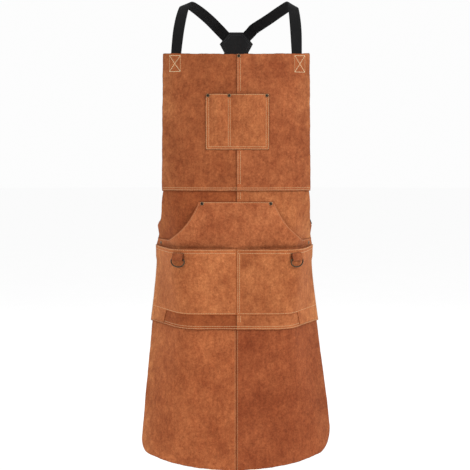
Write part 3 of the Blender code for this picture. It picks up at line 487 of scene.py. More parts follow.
def store(obj, name, values):
    layer = obj.data.attributes.new(name, "FLOAT", "POINT")
    layer.data.foreach_set("value", np.asarray(values, np.float32).ravel())


def hold(obj, body, slot, *nodes):
    """Put a piece on its body, in place of any frame nodes named. slot is not used."""
    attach(obj, body)
    if nodes:
        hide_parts(*nodes)
    return obj


def band(low, high, count):
    """Faces between two closed loops of count vertices, which start at low and high."""
    return [(low + k, low + (k + 1) % count, high + (k + 1) % count, high + k) for k in range(count)]


def lengths_along(points):
    """How far along its line each point is."""
    return np.concatenate([[0], np.cumsum(np.linalg.norm(np.diff(points, axis=0), axis=1))])


def sampled(at, marks, points):
    """Where a line of 3-D points has got to at each length in at."""
    return np.stack([np.interp(at, marks, points[:, k]) for k in range(3)], -1)


def grid_faces(wide, tall, offset=0, flip=False):
    i, j = np.meshgrid(np.arange(wide - 1), np.arange(tall - 1), indexing="ij")
    a = (i * tall + j + offset).ravel()
    quads = np.stack([a, a + 1, a + tall + 1, a + tall], -1)
    return (quads[:, ::-1] if flip else quads).tolist()


EDGE_LINES = (0.0, 0.0002, 0.0005, 0.0009, 0.0016)  # how far from a cut edge its grid lines are
SEAM_LINES = (-0.0022, -0.0011, 0.0, 0.0011, 0.0022)  # and from a stitched line
CLOSEST_LINES = 0.00018


def share_lines(length, spacing, *extra):
    """Shares from 0 to 1 along an edge: even, with close lines at both ends and round each extra place."""
    inset = EDGE_LINES[-1]
    marks = list(EDGE_LINES) + [length - x for x in EDGE_LINES]
    marks += list(np.linspace(inset, length - inset, max(int(length / spacing), 2)))
    for mark in extra:
        marks += [mark + d for d in SEAM_LINES]
    marks = sorted(m for m in marks if 0 <= m <= length)
    kept = [marks[0]]
    for m in marks[1:]:
        if m - kept[-1] > CLOSEST_LINES:
            kept.append(m)
    kept[-1] = length
    return np.array(kept) / length


def to_seams(u, v, seams):
    """The distance of each point of the pattern from the nearest stitched line."""
    nearest = np.full(u.shape, 1.0)
    for line in seams:
        for (u0, v0), (u1, v1) in zip(line, line[1:]):
            du, dv = u1 - u0, v1 - v0
            t = np.clip(((u - u0) * du + (v - v0) * dv) / max(du * du + dv * dv, 1e-12), 0, 1)
            nearest = np.minimum(nearest, np.hypot(u - u0 - t * du, v - v0 - t * dv))
    return nearest


PUCKER, PUCKER_WIDTH = 0.00035, 0.0016  # how far the thread pulls the leather in, and how widely
STITCH_PITCH, CUT_WIDTH, RUB_WIDTH = 0.0044, 0.0011, 0.0035
SHEETS = []  # each leather piece with its flat width, height and area
SIDES = (("left", -1), ("right", 1))


def pucker(distance):
    return PUCKER * np.exp(-((distance / PUCKER_WIDTH) ** 2))


def hide_sheet(piece, suffix, grids, base, seams, hide, size, butted=None):
    """A panel or pocket of hide from its pattern's grids of u and v: two faces, with rounded cut edges.

    butted names the side whose edge meets its neighbour. No cut shows there or along the bottom.
    """
    us, vs = grids
    kind = "panel_leather" if piece in ROWS else "pocket_leather"
    node = f"{piece}_panel" if piece in ROWS else piece
    du = np.hypot(np.diff(us, axis=0), np.diff(vs, axis=0))
    dv = np.hypot(np.diff(us, axis=1), np.diff(vs, axis=1))
    from_left = np.vstack([np.zeros((1, us.shape[1])), np.cumsum(du, 0)])
    from_top = np.hstack([np.zeros((us.shape[0], 1)), np.cumsum(dv, 1)])
    edge = np.minimum.reduce([from_left, from_left[-1:] - from_left, from_top, from_top[:, -1:] - from_top])
    radius = SHOWN_LEATHER * 0.45
    inside = np.clip(edge / radius, 0, 1)
    roll = radius * (1 - np.sqrt(1 - (1 - inside) ** 2))
    stitched = to_seams(us, vs, seams)
    low = base(us, vs)
    front = on_body(us, vs, low + LEATHER - roll - pucker(stitched))
    back = on_body(us, vs, low + LEATHER - SHOWN_LEATHER + roll)
    count_u, count_v = us.shape
    total = count_u * count_v
    faces = grid_faces(count_u, count_v) + grid_faces(count_u, count_v, total, True)
    rim = [(i, 0) for i in range(count_u)] + [(count_u - 1, j) for j in range(1, count_v)]
    rim += [(i, count_v - 1) for i in range(count_u - 2, -1, -1)]
    rim += [(0, j) for j in range(count_v - 2, 0, -1)]
    ids = [i * count_v + j for i, j in rim]
    for a, b in zip(ids, ids[1:] + ids[:1]):
        faces.append((a, b, b + total, a + total))
    points = np.vstack([front.reshape(-1, 3), back.reshape(-1, 3)])
    obj = mesh_object(f"{piece}_leather{suffix}", points, faces, SUEDE[hide])
    bare = [from_top] if butted else [from_top, from_top[:, -1:] - from_top]
    bare += [] if butted == "left" else [from_left]
    bare += [] if butted == "right" else [from_left[-1:] - from_left]
    cut = np.clip(1.3 - np.minimum.reduce(bare) / CUT_WIDTH, 0, 1).ravel()
    rub = np.exp(-((stitched / RUB_WIDTH) ** 2)).ravel() * 0.9
    # side: how near the panel's side edge each point is, for the painted side highlight
    side = np.clip((np.abs(us) / half_width(vs) - 0.72) / 0.28, 0, 1).ravel() ** 1.4
    store(obj, "side", np.concatenate([side, side]))
    store(obj, "cut", np.concatenate([cut, cut]))
    store(obj, "rub", np.concatenate([rub, rub * 0]))
    hold(obj, BODY, kind, node + suffix)
    SHEETS.append((obj, *size, float(from_left[-1].mean() * from_top[:, -1].mean())))


def pattern(left, right, top, bottom, s_lines, t_lines):
    """Grids of u and v: columns between left(v) and right(v), rows between top(u) and bottom(u)."""
    s, t = np.meshgrid(s_lines, t_lines, indexing="ij")
    rough_u = left(0.2) + (right(0.2) - left(0.2)) * s
    for _ in range(3):
        v = top(rough_u) + (bottom(rough_u) - top(rough_u)) * t
        rough_u = left(v) + (right(v) - left(v)) * s
    return rough_u, v


def stitches(name, lines, base, mat=THREAD, slot="panel_leather", radius=0.00050):
    """Thread stitches along lines of the leather on base: each dives in and out of it."""
    vertices, faces = [], []
    for line in lines:
        line = np.array(line, float)
        lengths = np.hypot(*np.diff(line, axis=0).T)
        marks = np.concatenate([[0], np.cumsum(lengths)])
        count = max(int(round(marks[-1] / STITCH_PITCH)), 1)
        step = marks[-1] / count
        starts = (np.arange(count) + 0.5) * step
        offsets = np.array([-0.42, -0.34, -0.16, 0.16, 0.34, 0.42]) * step
        lift = np.array([-0.00035, 0.00008, 0.00030, 0.00030, 0.00008, -0.00035])
        girth = np.array([0.55, 0.9, 1.0, 1.0, 0.9, 0.55]) * radius
        at = starts[:, None] + offsets[None]
        u, v = np.interp(at, marks, line[:, 0]), np.interp(at, marks, line[:, 1])
        spine = on_body(u, v, base(u, v) + LEATHER - PUCKER + lift[None])
        normal = outward(u, v)
        ahead = unit(np.gradient(spine, axis=1))
        side = unit(np.cross(ahead, normal))
        up = np.cross(side, ahead)
        turn = np.arange(6) * math.pi / 3
        girth = girth[None, :, None, None]
        wide, tall = girth * np.cos(turn)[None, None, :, None], girth * np.sin(turn)[None, None, :, None]
        ring = spine[:, :, None] + wide * side[:, :, None] + tall * up[:, :, None]
        first = len(vertices)
        vertices += ring.reshape(-1, 3).tolist()
        for k in range(count):
            start = first + k * 36
            for low in range(start, start + 30, 6):
                faces += band(low, low + 6, 6)
            faces.append(tuple(range(start + 5, start - 1, -1)))
            faces.append(tuple(range(start + 30, start + 36)))
    return hold(mesh_object(f"stitching_{name}", vertices, faces, mat), BODY, slot)


# ---- the stitched lines


def mouth_v(u):
    left = 1 - (np.abs(u) - POUCH_CORNER) / (POUCH_END - POUCH_CORNER)
    curve = POUCH_TIP - (POUCH_TIP - POUCH_TOP) * np.clip(left, 0, 1) ** POUCH_MOUTH_CURVE
    return np.where(np.abs(u) <= POUCH_CORNER, POUCH_TOP, curve)


def straight_line(a, b, pieces=24):
    return [tuple(np.array(a) + (np.array(b) - np.array(a)) * k / pieces) for k in range(pieces + 1)]


def level(v, start, end):
    return straight_line((start, v), (end, v), 40)


def upright(u, top, bottom):
    return straight_line((u, top), (u, bottom), 40)


def mouth_line(side, inset):
    line = []
    for k in range(41):
        u = POUCH_CORNER + 0.002 + (0.268 - POUCH_CORNER) * k / 40
        slope = (mouth_v(u + 0.001) - mouth_v(u - 0.001)) / 0.002
        away = inset / math.hypot(1, slope)
        line.append((side * (u - slope * away), float(mouth_v(u)) + away))
    return line


BIB_SEAM = [upright(0.0040, 0.012, 0.344), upright(0.0100, 0.012, 0.344)]
BIB_LAP_ROWS = (0.3370, 0.3420)
BIB_LAP = [level(v, -0.205, 0.205) for v in BIB_LAP_ROWS]
WAIST_SEAM = [upright(0.0040, 0.348, 0.697), upright(0.0100, 0.348, 0.697)]
WAIST_LAP = [level(0.6900, -0.301, 0.301), level(0.6955, -0.301, 0.301)]
SKIRT_SEAM_RIGHT, SKIRT_SEAM_LEFT = upright(0.0030, 0.702, 1.064), upright(-0.0036, 0.702, 1.062)
CHEST_LINES = [
    [(u, chest_top(u) + 0.0020) for u in np.linspace(-0.075, 0.080, 41)],
    upright(-0.0750, 0.110, 0.239), upright(-0.0690, 0.112, 0.234),
    upright(0.0800, 0.110, 0.239), upright(0.0740, 0.112, 0.234), level(0.2390, -0.075, 0.080),
    level(0.2335, -0.069, 0.074), upright(-0.0205, 0.113, 0.233), upright(-0.0155, 0.113, 0.233),
]
POUCH_LINES = [level(0.3745, -0.092, 0.092), mouth_line(-1, 0.0030), mouth_line(1, 0.0030)]
LOWER_ROWS = (0.4950, 0.5030, 0.6570)  # two along the mouth's hem, and one along the bottom


def lower_edge(u, inset):
    """The lower pockets' bottom edge, with its ear at each side."""
    past = np.where(u < 0, LOWER_EAR_LEFT - u, u - LOWER_EAR_RIGHT)
    return LOWER_BOTTOM + (LOWER_EAR - LOWER_BOTTOM) * np.clip(past / 0.012, 0, 1) - inset


LOWER_LINES = {
    "left": [level(v, -0.297, -0.003) for v in LOWER_ROWS] + [upright(-0.2965, 0.495, 0.690)],
    "right": [level(v, 0.003, 0.297) for v in LOWER_ROWS] + [
        upright(0.2965, 0.495, 0.690), upright(0.0035, 0.497, 0.655), upright(0.0080, 0.505, 0.655),
    ],
}

# ---- the leather

CUT_BACK, SKIRT_BACK = 0.0006, 0.0005  # how far inside the pattern's lines the cut edges are
ROWS = {  # each row's height, and its right panel's flat size
    "bib": (BIB_BASE, 0.208, 0.345),
    "waist": (WAIST_BASE, 0.305, 0.368),
    "skirt": (SKIRT_BASE, 0.305, 0.382),
}


def still(place_at):
    """An edge that keeps to one place all along."""
    return lambda x: place_at + 0 * x


def row_panel(row, side, sign, edge, seed, top, bottom, s_lines, t_lines, seams):
    """One panel of a row: its outer edge follows edge(v) with a wander, and its inner one the centre seam."""
    height, wide, tall = ROWS[row]
    if sign < 0:
        left, right = (lambda v: -edge(v) + wobble(v, seed)), still(SEAM_LAP)
        wide = round(wide + SEAM_LAP, 3)
    else:
        left, right = still(0), (lambda v: edge(v) + wobble(v, seed + 1))
    grids = pattern(left, right, top, bottom, s_lines, t_lines)
    hide_sheet(row, f"_{side}", grids, row_base(height, sign < 0), seams, f"{row}_{side}", (wide, tall))


def make_leather():
    near_seam = (SEAM_LAP, 0.0162)
    for side, sign in SIDES:
        def corner(u, s=sign):
            past = np.clip(np.abs(u) - 0.192, 0, 0.004)
            return (0.004 - np.sqrt(0.004**2 - past**2)) * (np.sign(u) == s) + wobble(u, 3) + CUT_BACK

        marks = [0.2145 - x for x in near_seam] if sign < 0 else [0.004, 0.010]
        s_lines = share_lines(0.215, 0.0024, *marks)
        t_lines = share_lines(BIB_BOTTOM, 0.0024, *BIB_LAP_ROWS)
        seams = BIB_LAP + (BIB_SEAM if sign > 0 else []) + box_lines(side)
        row_panel(
            "bib", side, sign, half_width, 1, corner, lambda u: BIB_BOTTOM + wobble(u, 4),
            s_lines, t_lines, seams,
        )

        def armhole(u):
            cut = np.interp(np.abs(u), [row[1] for row in OUTLINE[3:]], [row[0] for row in OUTLINE[3:]])
            return np.where(np.abs(u) <= OUTLINE[3][1], BIB_BOTTOM - ROW_LAP, cut)

        corner_u = [0.208, 0.2085]
        marks = [HALF_WIDTH - c for c in corner_u] if sign < 0 else corner_u
        marks += [HALF_WIDTH - 0.012, HALF_WIDTH + 0.004] if sign < 0 else [0.004, 0.010]
        s_lines = share_lines(HALF_WIDTH + (SEAM_LAP if sign < 0 else 0), 0.0026, *marks)
        t_lines = share_lines(0.36, 0.0026, 0.350, 0.3555)
        seams = WAIST_LAP + (WAIST_SEAM if sign > 0 else [])
        row_panel(
            "waist", side, sign, still(HALF_WIDTH), 6, armhole, lambda u: WAIST_BOTTOM + wobble(u, 8),
            s_lines, t_lines, seams,
        )

        def hem(u, s=sign):
            radius = HEM_RADIUS[s]
            past = np.clip(np.abs(u) - (HALF_WIDTH - SKIRT_BACK - radius), 0, radius) * (np.sign(u) == s)
            curve = HEM - HEM_RISE[s] * (np.abs(u) / HALF_WIDTH) ** HEM_CURVE
            corner_drop = np.sqrt(radius**2 - past**2) - radius
            return curve + corner_drop + wobble(u, 9) - CUT_BACK

        edge = HALF_WIDTH - SKIRT_BACK
        marks = [edge - 0.012, edge - 0.014] if sign < 0 else [0.003, edge - 0.05, edge - 0.02]
        s_lines = share_lines(edge + (SEAM_LAP if sign < 0 else 0), 0.0026, *marks)
        t_lines = share_lines(0.382, 0.0026)
        seams = [SKIRT_SEAM_RIGHT] if sign > 0 else [SKIRT_SEAM_LEFT]
        row_panel(
            "skirt", side, sign, still(edge), 10, still(WAIST_BOTTOM - ROW_LAP), hem,
            s_lines, t_lines, seams,
        )

        start, end = (-LOWER_END, -0.0001) if sign < 0 else (0.0001, LOWER_END)
        marks = [0.0035, LOWER_END - 0.218, LOWER_END - 0.230] if sign < 0 else [0.0035, 0.0085, 0.174, 0.186]
        grids = pattern(
            still(start), still(end), lambda u: LOWER_TOP + wobble(u, 12), lambda u: lower_edge(u, 0.0),
            share_lines(LOWER_END, 0.0022, *marks), share_lines(0.168, 0.0022, 0.003, 0.011),
        )
        hide_sheet(
            "lower_pocket", f"_{side}", grids, lower_base, LOWER_LINES[side], f"lower_{side}",
            (0.300, 0.202), "right" if sign < 0 else "left",
        )

    width = CHEST_RIGHT - CHEST_LEFT
    marks = [x - CHEST_LEFT for x in (-0.075, -0.069, -0.0205, -0.0155, 0.074, 0.080)]
    grids = pattern(
        lambda v: CHEST_LEFT + wobble(v, 13), lambda v: CHEST_RIGHT + wobble(v, 14),
        lambda u: chest_top(u) + wobble(u, 15), lambda u: CHEST_BOTTOM + wobble(u, 16),
        share_lines(width, 0.0018, *marks), share_lines(0.140, 0.0018, 0.002, 0.1325, 0.138),
    )
    hide_sheet("chest_pocket", "", grids, chest_base, CHEST_LINES, "chest", (0.159, 0.140))
    grids = pattern(
        still(-POUCH_END), still(POUCH_END), mouth_v, still(POUCH_BOTTOM),
        share_lines(2 * POUCH_END, 0.0022, POUCH_END - POUCH_CORNER, POUCH_END + POUCH_CORNER),
        share_lines(0.146, 0.0018, 0.0025),
    )
    hide_sheet("kangaroo_pouch", "", grids, pouch_base, POUCH_LINES, "pouch", (0.570, 0.146))


STRAP_BOXES = {"left": (-0.1755, -0.1435, 0.006, 0.044), "right": (0.1500, 0.1805, 0.006, 0.045)}


def box_lines(side):
    """The crossed box that holds each shoulder strap."""
    left, right, top, bottom = STRAP_BOXES[side]
    corners = [(left, top), (right, top), (right, bottom), (left, bottom), (left, top)]
    lines = [straight_line(a, b, 6) for a, b in zip(corners, corners[1:])]
    lines.append(straight_line((left, top), (right, bottom), 8))
    lines.append(straight_line((right, top), (left, bottom), 8))
    return lines


def skirt_seam_base(u, v):
    """The skirt's height at its seam, where the left panel has dipped."""
    return SKIRT_BASE + ripple(u, v) - step_down(u) * (u < 0)


def make_stitching():
    bib_base, waist_base, pocket = row_base(BIB_BASE), row_base(WAIST_BASE), "pocket_leather"
    chest_start, chest_end = CHEST_TOP - 0.003, CHEST_BOTTOM + 0.001
    shown = [[p for p in line if p[1] <= chest_start] for line in BIB_SEAM]
    shown += [[p for p in line if chest_end <= p[1] < 0.335] for line in BIB_SEAM]
    stitches("bib_seam", shown, bib_base)
    stitches("bib_lap", BIB_LAP, bib_base)
    for side in ("left", "right"):
        top, outer, bottom, inner, *cross = box_lines(side)
        stitches(f"strap_box_{side}", [top, bottom, *cross], bib_base, CREAM, radius=0.00062)
        stitches(f"strap_sides_{side}", [outer, inner], bib_base)
        stitches(f"lower_pocket_{side}", LOWER_LINES[side], lower_base, slot=pocket)
    shown = []
    for line in WAIST_SEAM:
        shown.append([p for p in line if p[1] < POUCH_TOP - 0.002])
        shown.append([p for p in line if LOWER_BOTTOM + 0.002 < p[1] < 0.688])
    stitches("waist_seam", shown, waist_base)
    stitches("waist_lap", WAIST_LAP, waist_base)
    stitches("skirt_seam", [SKIRT_SEAM_RIGHT, SKIRT_SEAM_LEFT], skirt_seam_base, DULL)
    stitches("chest_pocket", CHEST_LINES, chest_base, slot=pocket)
    stitches("pouch", POUCH_LINES[:1], pouch_base, slot=pocket)
    stitches("pouch_mouths", POUCH_LINES[1:], pouch_base, DULL, pocket)


# ---- bands, rings and rivets


def spot(u, v, height):
    """One point of the bent pattern."""
    return tuple(on_body(u, v, height))


def frame_at(origin, x_axis, y_axis, z_axis):
    matrix = Matrix((x_axis, y_axis, z_axis)).transposed().to_4x4()
    matrix.translation = origin
    return matrix


def smooth_route(route, steps):
    path = []
    for k in range(len(route) - 1):
        around = [route[min(max(i, 0), len(route) - 1)] for i in range(k - 1, k + 3)]
        for i in range(steps):
            t = i / steps
            blend = (
                (-t + 2 * t**2 - t**3) / 2, (2 - 5 * t**2 + 3 * t**3) / 2,
                (t + 4 * t**2 - 3 * t**3) / 2, (-(t**2) + t**3) / 2,
            )
            point = sum((w * Vector(near[0]) for w, near in zip(blend, around)), Vector())
            normal = sum((w * Vector(near[1]) for w, near in zip(blend, around)), Vector())
            path.append((point, normal))
    path.append(tuple(Vector(part) for part in route[-1]))
    return path


def evenly(path, spacing):
    points = np.array([tuple(p) for p, _ in path])
    normals = np.array([tuple(n) for _, n in path])
    marks = lengths_along(points)
    at = np.linspace(0, marks[-1], max(int(marks[-1] / spacing), 3) + 1)
    return sampled(at, marks, points), sampled(at, marks, normals), at


RIB_PITCH, SELVEDGE = 0.0038, 0.0006  # the webbing's ribs, and how wide its edge is


def ribbon(name, path, width, thick, mat, spacing=0.0012, across=14, ribs=0.0, edge=0.35):
    """A flat strap with rounded selvedges along (point, normal) pairs."""
    points, normals, marks = evenly(path, spacing)
    ahead = unit(np.gradient(points, axis=0))
    side = unit(np.cross(ahead, normals))
    out = np.cross(side, ahead)
    t = np.linspace(-1, 1, across)
    drop = np.clip((np.abs(t) - (1 - thick * edge * 2 / width)) / (thick * edge * 2 / width), 0, 1)
    half = thick / 2 * np.sqrt(np.clip(1 - drop**2 * 0.86, 0, 1))
    lane = np.concatenate([t, t[::-1]]) * width / 2
    height = np.concatenate([half, -half[::-1]])
    wave = 1 + ribs * np.sin(marks * 2 * math.pi / RIB_PITCH)
    ring = (
        points[:, None] + lane[None, :, None] * side[:, None]
        + (height[None] * wave[:, None])[..., None] * out[:, None]
    )
    count, loop = ring.shape[:2]
    faces = []
    for k in range(count - 1):
        for c in range(loop):
            d = (c + 1) % loop
            faces.append((k * loop + c, (k + 1) * loop + c, (k + 1) * loop + d, k * loop + d))
    faces.append(tuple(range(loop)))
    faces.append(tuple(range((count - 1) * loop, count * loop))[::-1])
    obj = mesh_object(name, ring.reshape(-1, 3), faces, mat)
    layer = obj.data.uv_layers.new(name="weave")
    coordinates = np.stack(np.broadcast_arrays(lane[None], marks[:, None]), -1)
    index = np.zeros(len(obj.data.loops), int)
    obj.data.loops.foreach_get("vertex_index", index)
    layer.data.foreach_set("uv", coordinates.reshape(-1, 2)[index].astype(np.float32).ravel())
    cut = np.clip((np.abs(lane) - width / 2 + SELVEDGE) / SELVEDGE, 0, 1)
    cut = np.broadcast_to(cut[None], (count, loop)).copy()
    cut[0], cut[-1] = 1, 1
    store(obj, "cut", cut)
    store(obj, "rub", cut * 0)
    return obj


def note_strip(obj, width, path):
    """List a leather strip with its flat width and the length of its path."""
    length = sum((b[0] - a[0]).length for a, b in zip(path, path[1:]))
    SHEETS.append((obj, width, length, width * length))


def strap_piece(name, path):
    return ribbon(name, path, WEB_WIDTH, WEB_THICK, WEB, ribs=0.06)


def swept_ring(name, points, radius, matrix, mat, sides=16):
    """A closed ring of round wire, finer than the frame's."""
    points_round = 96
    line = np.array(points, float)
    closed = np.vstack([line, line[:1]])
    marks = lengths_along(closed)
    line = sampled(np.linspace(0, marks[-1], points_round + 1)[:-1], marks, closed)
    for _ in range(2):
        line = (np.roll(line, 1, 0) + 2 * line + np.roll(line, -1, 0)) / 4
    ahead = unit(np.roll(line, -1, 0) - np.roll(line, 1, 0))
    side = np.stack([-ahead[:, 1], ahead[:, 0], np.zeros(len(line))], -1)
    turn = np.arange(sides) * 2 * math.pi / sides
    up = np.array([0, 0, 1.0])
    spokes = np.cos(turn)[None, :, None] * side[:, None] + np.sin(turn)[None, :, None] * up
    ring = line[:, None] + radius * spokes
    count = len(line)
    faces = []
    for k in range(count):
        faces += band(k * sides, (k + 1) % count * sides, sides)
    obj = mesh_object(name, ring.reshape(-1, 3), faces, mat)
    obj.data.transform(matrix)
    return obj


RIVET_SEGMENTS, RIM_START, RIVET_PLAY = 28, 0.0036, 0.0003  # its worn rim, coloured lighter as wear and as a painted highlight, starts RIM_START from its middle


def rivet(name, u, v, low, high):
    """A tubular rivet: a domed cap with a rolled rim and a dimple, a shank, and a burr behind."""
    normal = Vector(outward(u, v))
    across = Vector((0, 0, 1)).cross(normal).normalized()
    matrix = frame_at(Vector(spot(u, v, 0.0)), across, normal.cross(across), normal)
    top, foot = high + RIVET_PLAY, low - RIVET_PLAY
    profile = [
        (0.0, foot - 0.0004), (0.0012, foot - 0.0005), (0.0019, foot - 0.0010), (0.0036, foot - 0.0008),
        (0.0040, foot - 0.0004), (0.0038, foot), (0.0015, foot), (0.0015, top), (0.0041, top),
        (0.0045, top + 0.0002), (0.0045, top + 0.0006), (0.0042, top + 0.0010), (0.0037, top + 0.0011),
        (0.0033, top + 0.0010), (0.0026, top + 0.0014), (0.0016, top + 0.0017), (0.0007, top + 0.0017),
        (0.0, top + 0.0016),
    ]
    vertices, rings, faces = [], [], []
    for radius, height in profile:
        if radius == 0:
            rings.append([len(vertices)])
            vertices.append((0, 0, height))
            continue
        rings.append(list(range(len(vertices), len(vertices) + RIVET_SEGMENTS)))
        for k in range(RIVET_SEGMENTS):
            a = 2 * math.pi * k / RIVET_SEGMENTS
            vertices.append((radius * math.cos(a), radius * math.sin(a), height))
    for lower, upper in zip(rings, rings[1:]):
        for k in range(RIVET_SEGMENTS):
            n = k + 1
            corners = [lower[k % len(lower)], lower[n % len(lower)]]
            corners += [upper[n % len(upper)], upper[k % len(upper)]]
            faces.append(list(dict.fromkeys(corners)))
    obj = mesh_object(name + "_detailed", vertices, faces, BRASS)
    obj.data.materials.append(RIM)
    # the rim's top takes the lighter brass: worn brass and a painted highlight ring
    for polygon in obj.data.polygons:
        x, y, z = polygon.center
        polygon.material_index = int(z > top and math.hypot(x, y) > RIM_START)
    obj.data.transform(matrix)
    hold(obj, BODY, "antique_brass", name)


def make_rivets():
    on_bib = BIB_BASE + LAYER + LEATHER
    on_waist = WAIST_BASE + LAYER + LEATHER
    rivet("rivet_bib_top", 0.006, 0.006, BIB_BASE - LAYER, BIB_BASE + LEATHER)
    chest = {"left": CHEST_LEFT + 0.006, "divider": CHEST_DIVIDER, "right": CHEST_RIGHT - 0.006}
    for place_name, u in chest.items():
        rivet(f"rivet_chest_{place_name}", u, CHEST_TOP + 0.005, BIB_BASE, on_bib)
    for side, sign in SIDES:
        rivet(f"rivet_pouch_{side}", sign * (POUCH_CORNER - 0.009), POUCH_TOP + 0.005, WAIST_BASE, on_waist)
        rivet(f"rivet_side_{side}", sign * 0.262, 0.4845, -SIDE_TAB_GAP - SIDE_TAB_THICK, on_waist)


def make_d_rings():
    joints = {joint["name"]: joint for joint in frame["joints"]}
    for side in ("left", "right"):
        joint = joints[f"ring_{side}_swing"]
        centre, across = Vector(joint["pos_m"]), -Vector(joint["axis"]).normalized()
        up = Vector((0, 0, 1))
        out = up.cross(across)
        out = -out if out.y > 0 else out
        loop = D_WIRE + CLEARANCE + LEATHER / 2
        leg = CLEARANCE + LEATHER / 2
        bar_out = leg + loop
        foot = centre - bar_out * out
        turn = [math.pi * n / 12 for n in range(13)]
        fold = [(bar_out - loop * math.cos(a), -loop * math.sin(a)) for a in turn]
        spots = [(leg, 0.016), (leg, 0.006)] + fold + [(leg + LAYER + 0.0010, 0.0065), (leg + LAYER, 0.016)]
        path = []
        for n, (n_out, z) in enumerate(spots):
            before, after = spots[max(n - 1, 0)], spots[min(n + 1, len(spots) - 1)]
            run_n, run_z = after[0] - before[0], after[1] - before[1]
            path.append((foot + n_out * out + z * up, run_z * out - run_n * up))
        tab = ribbon(f"d_ring_tab_leather_{side}", path, TAB_WIDTH, LEATHER, SUEDE["tab"], 0.0008, 20)
        hold(tab, BODY, "pocket_leather", f"d_ring_tab_{side}")
        note_strip(tab, TAB_WIDTH, path)
        points = [(D_BAR_END * n / 2, 0.0, 0.0) for n in range(-2, 3)]
        for n in range(29):
            a = math.pi * n / 28
            drop = -D_CORNER - (D_DROP - D_CORNER) * math.sin(a) ** 0.8
            points.append((D_HALF_WIDTH * math.cos(a), drop, 0.0))
        matrix = frame_at(centre, across, up, across.cross(up))
        ring = swept_ring(f"d_ring_wire_{side}", points, D_WIRE, matrix, BRASS)
        hold(ring, f"ring_{side}", "antique_brass", f"d_ring_{side}")


# ---- straps, patch and hip hardware


def mirrored(route):
    return [((-p[0], p[1], p[2]), (-n[0], n[1], n[2])) for p, n in route]


def strap_route(depth, shoulder):
    inside = PATCH_Y + depth
    behind = BIB_BASE - 2 * CLEARANCE - WEB_THICK / 2
    sewn = [(spot(-STRAP_U, v, behind), tuple(outward(-STRAP_U, v))) for v in STRAP_SEWN]
    turning = [
        ((-0.0500, inside - 0.0110, -0.0545), (-0.05, 0.95, 0.25)),
        ((-0.0425, inside - 0.0030, -0.0610), (0, 1, 0.05)),
    ]
    flat = [
        (-0.0360, inside, -0.0675), (-0.0280, inside, -0.0755), (0.0000, inside, -0.1040),
        (0.0290, inside, -0.1375), (0.0360, inside, -0.1460), (0.0405, inside + 0.0010, -0.1530),
        (0.0480, inside + 0.0040, -0.1680), STRAIGHT_LEAD, STRAIGHT_TOP, STRAIGHT_MIDDLE, STRAIGHT_BOTTOM,
    ]
    return sewn + list(shoulder) + turning + [(point, (0, 1, 0)) for point in flat]


def hip_frame(flip):
    behind = WAIST_BASE - SIDE_TAB_GAP - SIDE_TAB_THICK / 2
    (u0, v0), (u1, v1) = TAB_PATTERN[-2:]
    start, before = Vector(spot(flip * u1, v1, behind)), Vector(spot(flip * u0, v0, behind))
    run = (start - before).normalized()
    normal = Vector(outward(flip * u1, v1))
    across = run.cross(normal).normalized()
    axis = (math.cos(HIP_BEND) * run - math.sin(HIP_BEND) * normal).normalized()
    return frame_at(start + HIP_RISE * (run + axis) / 2, across, axis, across.cross(axis))


def bar_fold(centre, radius, start, end, count):
    angles = [math.radians(start + (end - start) * k / count) for k in range(count + 1)]
    return [(centre + radius * math.cos(a), radius * math.sin(a)) for a in angles]


def placed(matrix, spots):
    path = []
    for k, (up, out) in enumerate(spots):
        before, after = spots[max(k - 1, 0)], spots[min(k + 1, len(spots) - 1)]
        run = Vector((0, after[0] - before[0], after[1] - before[1]))
        normal = Vector((1, 0, 0)).cross(run)
        if spots[0][0] > spots[len(spots) // 2][0]:
            normal = -normal
        path.append((matrix @ Vector((0, up, out)), matrix.to_3x3() @ normal))
    return path


def make_straps():
    apart = WEB_THICK / 2 + 0.0002
    for side, route in (
        ("left", strap_route(apart, SHOULDER_LEFT)), ("right", mirrored(strap_route(-apart, SHOULDER_RIGHT))),
    ):
        strap = strap_piece(f"shoulder_webbing_{side}", smooth_route(route, 10))
        hold(strap, BODY, "black_webbing", f"cross_strap_{side}_shoulder")


def make_returns():
    """Each strap's lower end: an outer strand round the hip bar, and an inner one that runs back up towards
    the slide.
    """
    for side, flip, bar in (("left", -1, LOOP_BAR_HIGH), ("right", 1, MALE_BAR)):
        matrix = hip_frame(flip)
        radius = LOOP_BAR + CLEARANCE + WEB_THICK / 2
        down = Vector((flip * STRAIGHT_BOTTOM[0], *STRAIGHT_BOTTOM[1:]))
        middle = Vector((flip * STRAIGHT_MIDDLE[0], *STRAIGHT_MIDDLE[1:]))
        run, back = (down - middle).normalized(), Vector((0, 1, 0))
        turn = [(Vector((flip * x, y, z)), Vector((flip * nx, ny, 0))) for (x, y, z), (nx, ny) in WAIST_TURN]
        outer = [(down + 0.0002 * run, back), (down + 0.018 * run, back), *turn]
        round_bar = placed(
            matrix, [(bar + 0.016, radius)] + bar_fold(bar, radius, 90, 270, 12) + [(bar + 0.016, -radius)]
        )
        inner = [(point - STRAND_GAP * normal, -normal) for point, normal in turn[::-1]]
        inner += [
            (down + 0.010 * run - 0.0046 * back, -back), (down - 0.020 * run - 0.0040 * back, -back),
            (middle + 0.0125 * run - 0.0036 * back, -back),
        ]
        sweep = smooth_route(outer + round_bar[:1], 8)[:-1] + round_bar
        climb = smooth_route([round_bar[-1]] + inner, 8)
        fixed = sweep + climb[1:17]
        moving = climb[16:]
        lower = strap_piece(f"hip_webbing_{side}", fixed)
        hold(lower, BODY, "black_webbing", f"strap_return_{side}")
        upper = strap_piece(f"slide_webbing_{side}", moving)
        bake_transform(upper)
        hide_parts(f"strap_return_{side}")


def shrunk(outline, share):
    """The patch's outline, drawn in towards its centre."""
    return [(x * share, PATCH_CENTRE_Z + (z - PATCH_CENTRE_Z) * share) for x, z in outline]


